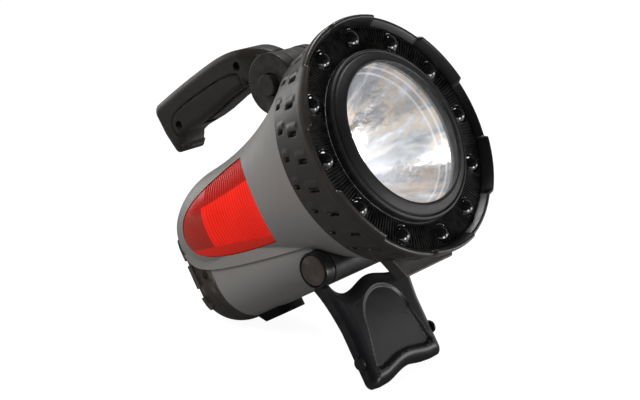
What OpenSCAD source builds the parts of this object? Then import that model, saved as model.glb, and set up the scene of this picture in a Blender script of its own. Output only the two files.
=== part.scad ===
// Rechargeable spotlight with a swinging handle, a trigger and a folding stand.
// Lamp frame: beam along +Y with the rim at Y 0, up is +Z, the lamp's right side is +X.
// place() tips the lamp back onto its stand and tail, and turns its front to -Y.

/* [Head] */
// Outer radius of the front rim
rim_r = 85; // [75:0.5:95]
// Rounding of the rim's outer edge
rim_round = 1.5; // [0.5:0.1:3]
// Width of the rim's front edge
rim_edge = 2.5; // [2:0.1:4]
// Length of the bumper ring along the beam
bezel_len = 39; // [34:0.5:44]
// How much narrower the bumper ring's rear edge is than the rim
bezel_taper = 5.8; // [4:0.1:6.5]
// Thickness of the bumper ring's wall at the rear edge
bezel_wall = 3.6; // [3:0.1:4.5]
// Length of the smooth lip behind the rim
lip_len = 9; // [6:0.5:12]
// Number of notches in the rim
notch_count = 6; // [3:1:12]
// Depth of the notches
notch_depth = 3.5; // [1:0.1:6]
// Width of a notch in degrees
notch_angle = 30; // [10:1:40]
// Half width of the flat foot under the bumper ring
foot_half = 32; // [20:0.5:40]
// How far the flat foot reaches below the rim
foot_proud = 1.5; // [0.5:0.1:4]
// Length of the flat foot along the beam
foot_len = 10; // [6:0.5:14]
// Number of domed studs
stud_count = 12; // [6:1:18]
// Radius of one stud
stud_r = 6.8; // [4:0.1:7]
// Height of one stud
stud_height = 4.5; // [2:0.1:6]
// Width of the ribbed front ring
ring_w = 18.4; // [16:0.1:20]
// Width of the lens retainer
retainer_w = 11.2; // [10:0.1:14]
// Thickness of the lens
lens_t = 3.5; // [2:0.1:4.5]
// Thickness of the lens gasket
gasket_t = 1.5; // [1:0.1:2]
// Focal length of the reflector
focal_len = 14; // [13:0.1:16]

/* [Body] */
// Wall thickness of the body shells
wall = 2.8; // [2:0.1:3.2]
// Radius of the body at its waist
waist_r = 44.3; // [43:0.1:46]
// Distance of the tail edge of the upper shell behind the rim
tail_back = 220.5; // [205:0.5:236]
// Distance of the waist in front of the tail edge
waist_len = 40.5; // [36:0.5:45]
// Radius of the body at the tail edge
tail_r = 33.9; // [33:0.1:36]
// Length of the rounded lower corner of the tail edge
corner_len = 30.5; // [28:0.5:32]
// Distance of that corner below the beam
corner_drop = 18; // [16:0.5:19]
// Half width of the lower shell
keel_half = 37.5; // [36.5:0.1:37.8]
// Step from the lower shell out to the upper shell's edge
seam_step = 1.5; // [1:0.1:2.5]
// Radius of the lower shell's bottom edges
keel_corner = 33; // [28:0.5:36]
// Distance of the belly below the beam
keel_drop = 71.5; // [70:0.1:73]
// Distance of the seam below the beam at the stand hinge
seam_drop = 42; // [40:0.5:44]
// Distance of the rear dome's axis in front of the tail edge
dome_in = 18; // [15:0.5:20]
// Distance of the rear cover's joint in front of the dome's axis
cover_in = 7.5; // [5:0.5:10]
// Height of the rear cover's top above the beam
dome_top = 32; // [30:0.5:33]
// Depth of the flat rear panel in the dome
panel_depth = 3; // [2.7:0.1:4]
// Half width of the flat rear panel
panel_half = 13.2; // [12:0.1:14]
// How far the rear bumpers stand proud
bumper_proud = 1.6; // [1:0.1:3]
// Length of the foot pad
pad_len = 31; // [26:1:40]
// Half width of the foot pad
pad_half = 13; // [10:0.5:16]
// Height of the foot pad
pad_t = 5.8; // [4:0.1:8]

/* [Side lights] */
// Radius of the side lens's rear end
window_r = 19.5; // [18:0.1:21]
// Distance of that end's centre in front of the tail edge
window_tail = 35.7; // [34:0.1:38]
// Height of that end's centre above the beam
window_z = 4.4; // [3:0.1:6]
// Height of the side lens's top edge above the beam
window_top = 36.2; // [34:0.1:37]
// Distance of the side lens's lower front corner below the beam
window_low = 29.1; // [28:0.1:30]
// Distance of the upper front corner behind the rim
window_front = 117; // [115:0.5:120]
// How far ahead of that corner the front edge heads
window_bow = 27; // [20:0.5:30]
// Gap around the side lens
window_gap = 0.25; // [0.1:0.05:0.4]

/* [Handle] */
// Distance of the handle hinge behind the rim
hinge_back = 75; // [74:0.5:77]
// Distance of the handle hinge below the rim's top
hinge_in = 14; // [12:0.5:15]
// Radius of the hinge cheeks
cheek_r = 22; // [20.5:0.1:22.5]
// Half width of the knuckle between the cheeks
knuckle_half = 11; // [9:0.5:12]
// Half width over the cheeks
cheek_half = 20.5; // [19.5:0.1:22]
// Half width of the grip
grip_half = 14.5; // [14:0.1:16]
// Height of the grip's sides above the hinge
grip_rise = 36.5; // [35:0.5:40]
// How far the grip's top arches above its sides
grip_arch = 4.4; // [3:0.1:6]
// Distance of the handle's end behind the hinge
handle_len = 135; // [128:0.5:145]
// Rounding of the handle's end
handle_round = 7; // [4:0.5:9]
// Rounding of the grip's top edges
grip_round = 8; // [5:0.5:9]
// Radius of the lock button
lock_r = 7.5; // [7:0.1:8]
// How far the lock button stands out
lock_out = 5.5; // [4.5:0.1:6]
// Travel of the lock button
lock_travel = 3; // [2:0.1:3.2]
// Radius of the handle's axle
axle_r = 5; // [4:0.1:5.2]
// Radius of the handle's screw heads
screw_head_r = 2.8; // [2.2:0.1:3]
// Half width of the trigger
trigger_half = 7; // [5:0.5:8]

/* [Stand] */
// Distance of the stand hinge behind the rim
stand_back = 86; // [85:0.5:87]
// Distance of the stand hinge below the beam
stand_drop = 58.5; // [58:0.5:59]
// Radius of the hinge barrel
barrel_r = 13; // [12:0.1:13.2]
// Distance of the stand's feet below its hinge
stand_len = 90.5; // [84:0.5:98]
// How much wider the stand's plate is than the lower shell on each side
stand_out = 1.5; // [1:0.1:3]
// Thickness of the stand's plate
stand_t = 4.6; // [4:0.1:5]
// Distance of the stand's front face before its hinge
stand_face = 3; // [2.5:0.1:3.5]
// Distance of the stand's side walls behind its hinge
stand_deep = 7.5; // [6:0.1:8]
// Width of a hinge arm
arm_w = 9; // [7:0.5:10]
// Radius of the stand's axle
stand_axle_r = 4; // [3:0.1:5]
// How far the stand folds back
fold = 64; // [50:1:64]

/* [Inside] */
// Battery width
battery_w = 47; // [40:1:50]
// Battery height
battery_h = 69; // [60:1:70]
// Radius of the charge socket's bore
socket_bore_r = 1.8; // [1.5:0.05:2]
// Depth of the charge socket's bore
socket_depth = 12; // [8:0.5:14]
// Radius of the rear push button
button_r = 8; // [6:0.1:8.2]

/* [Hidden] */
$fn = 96;
fit = 0.1;
run_fit = 0.06;
loose = 0.5;
seat_back = 14;
flange_back = 16;
ring_front = 9.5;
lens_front = seat_back - gasket_t - lens_t;
rim_wall = 5.5;
stud_inset = 1.2;
bezel_rear_r = rim_r - bezel_taper;
neck_r = bezel_rear_r - bezel_wall - fit;
foot_drop = rim_r + foot_proud;
ring_r = rim_r - rim_wall;
retainer_r = ring_r - ring_w - fit;
lens_view_r = retainer_r - retainer_w;
stud_circle_r = ring_r - stud_r - stud_inset;
waist_back = tail_back - waist_len;
dome_back = tail_back - dome_in;
cover_back = dome_back - cover_in;
panel_back = dome_back + keel_half - panel_depth;
window_back = tail_back - window_tail;
hinge_z = rim_r - hinge_in;
handle_end = hinge_back + handle_len;
grip_crest = grip_rise + grip_arch;
grip_fall = 3;
grip_end = hinge_z + grip_crest - grip_fall;
stand_half = keel_half + stand_out;
stand_reach = stand_drop + stand_len;
bell_front_r = bezel_rear_r - 0.4;
flare_len = waist_back - bezel_len;
flare_rise = bell_front_r - waist_r;
flare_arc = (flare_len * flare_len + flare_rise * flare_rise) / (2 * flare_rise);
waist_drop = waist_r - tail_r;
waist_arc = (waist_len * waist_len + waist_drop * waist_drop) / (2 * waist_drop);
seam_turn = -55;
arc_steps = 12;
keel_front = stand_back + 2;
keel_flat = keel_half - keel_corner;
knuckle_r = cheek_r - 0.5;
arm_in = keel_half + 0.6;
arm_out = arm_in + arm_w;
eye_r = barrel_r - 0.2;
stand_rear_y = -stand_back - stand_deep;
fold_gap = 0.6;
plate_y = -panel_back;
plate_in_y = plate_y + wall;
button_z = 0;
led_z = button_z - button_r - 5.5;
socket_z = led_z - 11.5;
plug_hinge_z = socket_z - 8.8;
plug_hinge_y = plate_y - 2;
bowl_front_r = retainer_r - 7;
bowl_back_r = 9.2;
bowl_vertex = -seat_back - bowl_front_r * bowl_front_r / (4 * focal_len);
bulb_seat_y = bowl_vertex - 6;
filament_y = bowl_vertex + focal_len;
nose_y = -35;
heel_y = 26 - handle_len;
screw_front = [-29.7, 26.4];
screw_rear = [heel_y - 3, 15];
trigger_pin = [heel_y + 16, 13];
hump_mid = barrel_r + 6.6;
hump_rise = 2.6;
cover_screw_y = -dome_back - 0.6;
cover_screw_z = -27;
bumper_bands = [[-9.5, 7], [-33, -14.5], [-52, -41]];
battery_front = -stand_back - 20;
battery_back = dome_back + 4.5;
battery_side_gap = 1.1;
battery_low = keel_corner - keel_drop
  - sqrt(pow(keel_corner - wall, 2) - pow(battery_w / 2 + battery_side_gap - keel_flat, 2));
battery_top = battery_low + battery_h;
tray_x = battery_w / 2 + 0.6;
tray_t = 1.3;

// The lamp leans back until the stand's rear foot edge and the tail's round bottom meet one floor.
tail_y = -dome_back - keel_flat;
tail_z = keel_corner - keel_drop;
lean_y = tail_y - stand_rear_y;
lean_z = tail_z + stand_reach;
tilt = atan2(lean_y, lean_z) + acos(keel_corner / norm([lean_y, lean_z]));
height = stand_reach * cos(tilt) - stand_rear_y * sin(tilt);
front_reach = (rim_r - rim_round) * sin(tilt);
rear_reach = (handle_end - handle_round) * cos(tilt) + (grip_end - handle_round) * sin(tilt) + handle_round;
shift_y = (front_reach - rear_reach) / 2;

grey = [0.42, 0.42, 0.40];
dark = [0.20, 0.19, 0.18];
black = [0.07, 0.07, 0.07];
red = [0.85, 0.10, 0.07];
metal = [0.75, 0.75, 0.77];

// Placement and drawing helpers

module place() {
  translate([0, shift_y, height]) rotate([tilt, 0, 180]) children();
}

module both_sides() {
  children();
  mirror([1, 0, 0]) children();
}

// Turns a section drawn as radius and distance along the beam into a round body.
module about_beam() {
  rotate([-90, 0, 0]) rotate([0, 0, seam_turn]) rotate_extrude() children();
}

// Draws a side outline, given as Y and Z, from x0 to x1.
module across(x0, x1) {
  translate([x0, 0, 0]) rotate([90, 0, 90]) linear_extrude(x1 - x0) children();
}

// Draws a front outline, given as X and Z, from y0 to y1.
module along(y0, y1) {
  translate([0, y1, 0]) rotate([90, 0, 0]) linear_extrude(y1 - y0) children();
}

module rod_x(r, x0, x1) {
  translate([x0, 0, 0]) rotate([0, 90, 0]) cylinder(r = r, h = x1 - x0);
}

module rod_y(r, y0, y1) {
  translate([0, y0, 0]) rotate([-90, 0, 0]) cylinder(r = r, h = y1 - y0);
}

module rod_z(r, z0, z1) {
  translate([0, 0, z0]) cylinder(r = r, h = z1 - z0);
}

module block(from, to) {
  translate(from) cube(to - from);
}

// A straight piece of wire that runs past both ends by a part of its radius.
module wire(from, to, r) {
  run = to - from;
  over = r / 2;
  flat_run = norm([run.x, run.y]);
  translate(from) rotate([0, atan2(flat_run, run.z), atan2(run.y, run.x)]) translate([0, 0, -over])
    cylinder(r = r, h = norm(run) + 2 * over);
}

// A coil spring along Z, one unbroken tube.
module coil(r, thick, length, turns) {
  sides = 8;
  per_turn = 16;
  steps = turns * per_turn;
  points = [for (i = [0:steps]) for (j = [0:sides - 1])
    let (a = 360 * i / per_turn, b = 360 * j / sides, z = thick + (length - 2 * thick) * i / steps)
    [(r + thick * cos(b)) * cos(a), (r + thick * cos(b)) * sin(a), z + thick * sin(b)]];
  skin = [for (i = [0:steps - 1]) for (j = [0:sides - 1])
    let (k = (j + 1) % sides)
    [i * sides + j, (i + 1) * sides + j, (i + 1) * sides + k, i * sides + k]];
  first_end = [for (j = [0:sides - 1]) j];
  last_end = [for (j = [0:sides - 1]) steps * sides + sides - 1 - j];
  polyhedron(points, concat(skin, [first_end, last_end]));
}

function arc(centre, r, from, to, steps = arc_steps) = [for (i = [0:steps])
  let (a = from + (to - from) * i / steps) centre + r * [cos(a), sin(a)]];

// Points between a and c on a smooth curve that first heads for b.
function bend(a, b, c, steps = arc_steps) = [for (i = [1:steps - 1])
  let (t = i / steps) (1 - t) * (1 - t) * a + 2 * t * (1 - t) * b + t * t * c];

// Head

module bezel() {
  color(dark) difference() {
    union() {
      about_beam() polygon([[neck_r + fit, -bezel_len], [bezel_rear_r, -bezel_len],
        [rim_r - 0.8, -lip_len], [rim_r, 1 - lip_len], [rim_r, -rim_round], [rim_r - rim_round, 0],
        [rim_r - rim_edge, 0], [ring_r + fit, 1 - lip_len], [ring_r + fit, -seat_back],
        [neck_r + fit, -seat_back]]);
      difference() {
        along(-bezel_len, foot_len - bezel_len) polygon([[-foot_half, -foot_drop], [foot_half, -foot_drop],
          [foot_half + 10, 2.5 - neck_r], [-foot_half - 10, 2.5 - neck_r]]);
        rod_y(neck_r + 2, -bezel_len - 1, 0);
      }
    }
    for (i = [0:notch_count - 1]) rotate([0, 360 * (i + 0.5) / notch_count, 0]) notch();
  }
}

module notch() {
  reach = rim_r + 5;
  half = reach * tan(notch_angle / 2);
  along(-notch_depth, 1) polygon([[0, 0], [-half, reach], [half, reach]]);
}

module front_ring() {
  color(black) about_beam() polygon([[retainer_r + fit, -seat_back], [ring_r, -seat_back],
    [ring_r, -ring_front], [retainer_r + fit, -ring_front]]);
}

module studs() {
  ball_r = (stud_r * stud_r + stud_height * stud_height) / (2 * stud_height);
  color(black) for (i = [0:stud_count - 1]) rotate([0, 360 * i / stud_count, 0])
    translate([0, -ring_front, stud_circle_r]) about_beam() intersection() {
      translate([0, stud_height - ball_r]) circle(ball_r);
      square([stud_r + 1, stud_height + 1]);
    }
}

module lens_retainer() {
  step_r = retainer_r - 3;
  color(black) about_beam() polygon([[lens_view_r, -lens_front], [retainer_r, -lens_front], [retainer_r, -5],
    [retainer_r - 1.2, -3.4], [step_r, -3], [step_r - 0.6, -2.2], [lens_view_r + 3.5, -1.6],
    [lens_view_r + 0.8, -2.6], [lens_view_r, -3.8]]);
}

module lens() {
  color([0.85, 0.9, 0.95, 0.35]) rod_y(retainer_r - 0.2, -lens_front - lens_t, -lens_front);
}

module lens_gasket() {
  color(black) difference() {
    rod_y(retainer_r - 0.2, -seat_back, gasket_t - seat_back);
    rod_y(bowl_front_r + 1, -seat_back - 1, 0);
  }
}

function bowl_y(r) = bowl_vertex + r * r / (4 * focal_len);

module reflector() {
  steps = 16;
  skin = 2;
  radii = [for (i = [0:steps]) bowl_back_r + (bowl_front_r - bowl_back_r) * i / steps];
  inner = [for (r = radii) [r, bowl_y(r)]];
  outer = [for (i = [0:steps - 1]) let (r = radii[steps - 1 - i]) [r + skin, bowl_y(r) - 0.4]];
  color(metal) about_beam() polygon(concat(inner, [[neck_r - 0.2, -seat_back], [neck_r - 0.2, -flange_back],
    [bowl_front_r + 2, -flange_back]], outer, [[bowl_back_r + skin, bulb_seat_y], [bowl_back_r, bulb_seat_y]]));
}

module bulb() {
  glass_r = 5.5;
  color([0.9, 0.92, 0.95, 0.4]) about_beam() difference() {
    bulb_section(glass_r, bulb_seat_y + 10);
    bulb_section(glass_r - 1, bulb_seat_y + 9);
  }
}

// Half section of a round-ended rod that ends past the filament.
module bulb_section(r, base_y) {
  tip_y = filament_y + 5;
  translate([0, base_y]) square([r, tip_y - base_y]);
  translate([0, tip_y]) intersection() {
    circle(r);
    square(r);
  }
}

module bulb_filament() {
  base_y = bulb_seat_y + 10;
  color(metal) {
    translate([0, filament_y, 0]) rod_x(1, -3, 3);
    both_sides() translate([2.4, 0, 0]) rod_y(0.4, base_y, filament_y);
  }
}

module bulb_base() {
  color([0.8, 0.78, 0.72]) {
    rod_y(bowl_back_r + 1.8, bulb_seat_y - 2, bulb_seat_y);
    rod_y(bowl_back_r - 0.1, bulb_seat_y, bulb_seat_y + 10);
  }
}

module bulb_cap() {
  bore_r = bowl_back_r + 2 + fit;
  color(black) difference() {
    rod_y(bore_r + wall, bulb_seat_y - 6, bulb_seat_y + 4);
    rod_y(bore_r, bulb_seat_y - 2, bulb_seat_y + 5);
    rod_y(5, bulb_seat_y - 7, bulb_seat_y);
  }
}

// Body

// Half section of the bell, drawn as radius and distance along the beam.
// A flare and a tail meet at the waist.
module bell_section(inset) {
  difference() {
    translate([0, -waist_back]) square([bell_front_r + 1 - inset, waist_back - bezel_len]);
    translate([waist_r + flare_arc, -waist_back]) circle(flare_arc + inset);
  }
  intersection() {
    translate([0, -tail_back]) square([waist_r, tail_back - waist_back]);
    translate([waist_r - waist_arc, -waist_back]) circle(waist_arc - inset);
  }
}

// The round wall of the bell with its neck.
module bell_ring() {
  about_beam() {
    difference() {
      bell_section(0);
      bell_section(wall);
    }
    translate([neck_r - wall, -bezel_len - wall]) {
      square([wall, bezel_len + wall - flange_back]);
      square([wall + 1, wall]);
    }
  }
}

// The space inside the round wall.
module bell_hollow() {
  about_beam() intersection() {
    bell_section(wall);
    translate([0, -tail_back]) square([bell_front_r, tail_back - bezel_len - wall]);
  }
}

// The upright band that carries the upper shell's edge past the round bell.
module band(half, z0, z1) {
  translate([0, 0, z0]) linear_extrude(z1 - z0) {
    translate([-half, -dome_back]) square([2 * half, dome_back - keel_front]);
    translate([0, -dome_back]) circle(half);
  }
}

// Side outline of all that belongs to the upper shell, grown by a gap.
module upper_side(gap) {
  far = 130;
  edge_y = -tail_back - gap;
  tail = [edge_y, 4];
  corner = [edge_y, -corner_drop - gap];
  turn = [corner_len - tail_back, -corner_drop - 8 - gap];
  front = [-keel_front - gap, -seam_drop - gap];
  polygon(concat([[10, far], [edge_y, far], tail], bend(tail, corner, turn), [turn],
    bend(turn, turn + 0.82 * (turn - corner), front), [front, [front.x, -far], [10, -far]]));
}

module keel_section(inset) {
  r = keel_corner - inset;
  z = keel_corner - keel_drop;
  translate([-keel_half + inset, z]) square([2 * (keel_half - inset), keel_drop - keel_corner]);
  translate([-keel_flat, z - r]) square([2 * keel_flat, r]);
  translate([-keel_flat, z]) circle(r);
  translate([keel_flat, z]) circle(r);
}

// Front half of the space that the stand sweeps as it folds back, in Y and Z.
module fold_sweep(inset) {
  along_plate = [-sin(fold), -cos(fold)];
  off_plate = [-cos(fold), sin(fold)];
  hinge = [-stand_back, -stand_drop];
  start = hinge + (stand_t - stand_face + fold_gap + inset) * off_plate;
  difference() {
    polygon([start, start + 140 * along_plate, [-dome_back, -200], [-stand_back, -200]]);
    translate(hinge) circle(hump_mid - hump_rise - fold_gap - inset);
  }
}

module at_stand_hinge() {
  translate([0, -stand_back, -stand_drop]) children();
}

module at_handle_hinge() {
  translate([0, -hinge_back, hinge_z]) children();
}

// Side outline of the side light: a bowed front, a round rear end and gently bent edges between them.
module window(grow) {
  top_turn = 122;
  low_turn = 236;
  front_y = grow - window_front;
  top_z = window_top + grow;
  low_z = -window_low - grow;
  low_bend_z = low_z + 4;
  rear = arc([-window_back, window_z], window_r + grow, low_turn, top_turn);
  low_end = rear[0];
  top_end = rear[arc_steps];
  top_front = [front_y, top_z];
  low_front = [front_y + 7, low_z];
  top_bend = [top_end.x - (top_z - top_end.y) * tan(top_turn), top_z];
  low_bend = [low_end.x - (low_bend_z - low_end.y) * tan(low_turn), low_bend_z];
  polygon(concat([top_front], bend(top_front, [front_y + window_bow, 6], low_front), [low_front],
    bend(low_front, low_bend, low_end), rear, bend(top_end, top_bend, top_front)));
}

module upper_shell() {
  band_half = keel_half + seam_step;
  color(grey) difference() {
    intersection() {
      union() {
        bell_ring();
        difference() {
          band(band_half, -seam_drop - 5, -6);
          bell_hollow();
        }
      }
      across(-120, 120) upper_side(0);
    }
    band(band_half - wall, -seam_drop - 10, -4);
    both_sides() across(20, 90) window(0);
    at_handle_hinge() rod_x(cheek_r + fit, -cheek_half - fit, cheek_half + fit);
    at_stand_hinge() rod_x(barrel_r + fit, -arm_in, arm_in);
    at_stand_hinge() both_sides() rod_x(barrel_r + loose, arm_in - loose, arm_out + 5);
  }
}

module lower_shell() {
  color(grey) difference() {
    union() {
      difference() {
        along(-cover_back, -keel_front - fit) keel_section(0);
        lower_hollow();
      }
      cover_bosses();
    }
    across(-60, 60) upper_side(fit);
    across(-60, 60) fold_sweep(0);
    at_stand_hinge() rod_x(barrel_r + fit / 2, -60, 60);
    both_sides() translate([0, cover_screw_y, cover_screw_z]) rod_x(1.5 + run_fit, 0, keel_half);
  }
}

module lower_hollow() {
  difference() {
    along(-cover_back - 1, -keel_front) keel_section(wall);
    at_stand_hinge() rod_x(barrel_r + wall, -60, 60);
    across(-60, 60) fold_sweep(wall);
  }
}

// Lugs inside the rear cover that take its side screws.
module cover_bosses() {
  intersection() {
    both_sides() block([keel_half - 9.5, -cover_back - 16, cover_screw_z - 5],
      [keel_half - wall, -cover_back + 4, cover_screw_z + 5]);
    union() {
      dome_solid(wall + fit);
      along(-cover_back, -keel_front) keel_section(wall / 2);
    }
  }
}

module dome_section(inset) {
  r = keel_corner - inset;
  low_z = keel_corner - keel_drop;
  high_z = dome_top - keel_corner;
  intersection() {
    union() {
      translate([keel_flat, low_z]) circle(r);
      translate([keel_flat, high_z]) circle(r);
      translate([0, low_z]) square([keel_flat + r, high_z - low_z]);
      translate([0, low_z - r]) square([keel_flat, high_z - low_z + 2 * r]);
    }
    translate([0, -200]) square([200, 400]);
  }
}

module dome_solid(inset) {
  translate([0, -dome_back, 0]) rotate([0, 0, 180]) rotate_extrude(angle = 180) dome_section(inset);
  both_sides() along(-dome_back, -cover_back) dome_section(inset);
}

module rear_cover() {
  color(dark) difference() {
    union() {
      difference() {
        dome_solid(0);
        dome_solid(wall);
        both_sides() along(-cover_back - 1, 0) dome_section(wall);
      }
      rear_bumpers();
      intersection() {
        dome_solid(0);
        block([-panel_half - wall, plate_y, -48], [panel_half + wall, plate_in_y, 14]);
      }
      plug_ears();
    }
    across(-60, 60) upper_side(fit);
    difference() {
      block([-panel_half, plate_y - 20, -48], [panel_half, plate_y, 24]);
      plug_ears();
    }
    translate([0, 0, button_z]) rod_y(button_r + 0.3, plate_y - 9, plate_in_y + 1);
    translate([0, 0, led_z]) rod_y(2.5 + fit, plate_y - 9, plate_in_y + 1);
    translate([0, 0, socket_z]) rod_y(5 + fit, plate_y - 9, plate_in_y + 1);
    translate([0, plug_hinge_y, plug_hinge_z]) rod_x(0.8 + run_fit, -9, 9);
    both_sides() translate([0, cover_screw_y, cover_screw_z]) {
      rod_x(1.5 + run_fit, keel_half - 6, keel_half + 5);
      rod_x(3.2 + fit, keel_half - 1.7, keel_half + 5);
    }
  }
}

module rear_bumpers() {
  intersection() {
    difference() {
      dome_solid(-bumper_proud);
      dome_solid(wall / 2);
    }
    for (band = bumper_bands) block([-60, -dome_back - 60, band[0]], [60, -dome_back - 12, band[1]]);
  }
}

module plug_ears() {
  both_sides() block([5.3, plug_hinge_y - 1.6, plug_hinge_z - 1.7], [7.3, plate_y + 1, plug_hinge_z + 1.7]);
}

module cover_screws() {
  color(metal) both_sides() translate([0, cover_screw_y, cover_screw_z]) {
    rod_x(1.5, keel_half - 9, keel_half - 1.7);
    rod_x(3.2, keel_half - 1.7, keel_half - 0.4);
  }
}

module foot_pad() {
  rear_y = 0.2 - cover_back;
  front_y = rear_y + pad_len;
  low_z = -keel_drop - pad_t;
  front_r = pad_half + 3;
  high_z = -60;
  color(black) difference() {
    intersection() {
      across(-pad_half, pad_half) polygon([[front_y + 1, high_z], [front_y + 1, low_z], [rear_y + pad_t, low_z],
        [rear_y, -keel_drop], [rear_y, high_z]]);
      translate([0, front_y - front_r, -100]) linear_extrude(50) {
        circle(front_r);
        translate([-2 * front_r, -pad_len]) square([4 * front_r, pad_len]);
      }
    }
    along(-cover_back, -keel_front) keel_section(0);
  }
}

// Side lights

module side_lens() {
  intersection() {
    across(20, 90) window(-window_gap);
    bell_ring();
  }
}

module side_lens_right() {
  color(red) side_lens();
}

module side_lens_left() {
  color(red) mirror([1, 0, 0]) side_lens();
}

module light_tray() {
  difference() {
    intersection() {
      across(tray_x, 90) window(-1.2);
      bell_hollow();
    }
    across(tray_x + tray_t, 90) window(-1.2 - tray_t);
  }
}

module light_tray_right() {
  color("white") light_tray();
}

module light_tray_left() {
  color("white") mirror([1, 0, 0]) light_tray();
}

module light_board() {
  base_x = tray_x + tray_t;
  rear_y = 6 - window_back;
  front_y = -window_front - 8;
  pitch = (front_y - rear_y - 20) / 2;
  block([base_x, rear_y, -6], [base_x + 1.2, front_y, 10]);
  for (i = [0:2]) translate([0, rear_y + 10 + pitch * i, 2]) {
    rod_x(2.5, base_x + 1.2, base_x + 4);
    rod_x(1.6, base_x + 4, base_x + 5);
  }
}

module light_board_right() {
  color([0.2, 0.4, 0.25]) light_board();
}

module light_board_left() {
  color([0.2, 0.4, 0.25]) mirror([1, 0, 0]) light_board();
}

// Inside the body

module battery() {
  half = battery_w / 2;
  color([0.25, 0.25, 0.28]) block([-half, -battery_back, battery_low], [half, battery_front, battery_top]);
}

module battery_tabs() {
  y = battery_front - 8;
  color(metal) both_sides() block([12, y, battery_top], [16, y + 1, battery_top + 6]);
}

module battery_pad() {
  half = 12;
  floor_z = keel_corner - keel_drop - sqrt(pow(keel_corner - wall, 2) - pow(half - keel_flat, 2));
  color(black) block([-half, 15 - battery_back, floor_z], [half, battery_front - 18, battery_low]);
}

module circuit_board() {
  y = 17 - battery_back;
  color([0.15, 0.4, 0.2]) {
    block([-17, y, battery_top], [17, y + 58, battery_top + 1.6]);
    block([-12, y + 8, battery_top + 1.6], [4, y + 26, battery_top + 12]);
    translate([9, y + 16, 0]) rod_z(5, battery_top + 1.6, battery_top + 13);
    translate([9, y + 40, 0]) rod_z(4, battery_top + 1.6, battery_top + 11);
  }
}

// A wire from a battery tab to the back of the bulb.
module lead() {
  r = 1.1;
  top = [14, battery_front - 7.5, battery_top + 6 + r];
  turn = [14, battery_front + 6, battery_top + 6 + r];
  end = [3, bulb_seat_y - 2 - r / 2, 0];
  wire(top, turn, r);
  wire(turn, end + [0, -10, 0], r);
  wire(end + [0, -10, 0], end, r);
}

module lead_right() {
  color(red) lead();
}

module lead_left() {
  color(black) mirror([1, 0, 0]) lead();
}

module rear_button() {
  color(red) translate([0, 0, button_z]) {
    rod_y(button_r, plate_y - 3, plate_in_y + 3);
    rod_y(button_r + 1.5, plate_in_y + fit / 2, plate_in_y + 2);
  }
}

module rear_switch() {
  front_y = plate_in_y + 5.5;
  leg_x = button_r + 3.5;
  color(black) translate([0, 0, button_z]) {
    block([-leg_x, front_y, -5], [leg_x, front_y + 2, 5]);
    block([-7, front_y + 2, -7], [7, front_y + 11, 7]);
    both_sides() block([leg_x - 1.5, plate_in_y, -5], [leg_x, front_y, 5]);
  }
}

module charge_light() {
  color([0.3, 0.8, 0.3]) translate([0, 0, led_z]) {
    rod_y(2.5, plate_y - 0.5, plate_in_y + 2);
    rod_y(3.4, plate_in_y, plate_in_y + 1);
    translate([0, plate_y - 0.5, 0]) sphere(2.5);
  }
}

module charge_socket() {
  color(black) translate([0, 0, socket_z]) difference() {
    union() {
      rod_y(5, plate_y, plate_y + socket_depth + 3);
      rod_y(6.8, plate_in_y, plate_in_y + 1.5);
    }
    rod_y(socket_bore_r, plate_y - 1, plate_y + socket_depth);
  }
}

module socket_plug() {
  color(dark) difference() {
    union() {
      translate([0, 0, socket_z]) rod_y(6.3, plate_y - 2.6, plate_y - 0.1);
      block([-4, plate_y - 2.6, plug_hinge_z], [4, plate_y - 0.5, socket_z]);
      translate([0, plug_hinge_y, plug_hinge_z]) rod_x(1.6, -5, 5);
    }
    translate([0, plug_hinge_y, plug_hinge_z]) rod_x(0.8 + run_fit, -6, 6);
  }
}

module plug_pin() {
  color(metal) translate([0, plug_hinge_y, plug_hinge_z]) rod_x(0.8, -7.3, 7.3);
}

// Handle

module saddle() {
  color(dark) at_handle_hinge() difference() {
    union() {
      both_sides() rod_x(cheek_r, knuckle_half + 0.3, cheek_half);
      both_sides() block([knuckle_half + 0.3, -9, -cheek_r - 5], [cheek_half, 9, -15]);
      block([-cheek_half, -18, -cheek_r - 5], [cheek_half, 18, -cheek_r - 0.2]);
    }
    rod_x(axle_r + run_fit, -30, 30);
    rod_x(lock_r + 0.15, knuckle_half + 2.5, 30);
  }
}

module handle_axle() {
  color(metal) at_handle_hinge() {
    rod_x(axle_r, -cheek_half, knuckle_half + 2.4);
    rod_x(lock_r, -cheek_half - lock_out, -cheek_half);
  }
}

module lock_button() {
  color(dark) at_handle_hinge() difference() {
    rod_x(lock_r, knuckle_half + 6, cheek_half + lock_out);
    rod_x(lock_r - 1.6, knuckle_half + 5, cheek_half + lock_out - 1.8);
  }
}

module lock_spring() {
  seat = knuckle_half + 2.5;
  length = cheek_half + lock_out - 1.8 - lock_travel - seat - 0.5;
  color(metal) at_handle_hinge() translate([seat, 0, 0]) rotate([0, 90, 0]) coil(lock_r - 2.9, 0.5, length, 3);
}

// The handle's outlines are drawn from its hinge: Y forward and Z up, in the lamp's own directions.
// A share of the way along the underside, from the nose behind the hinge to the heel before the end.
function along_grip(share) = nose_y + share * (heel_y - nose_y);

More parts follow.
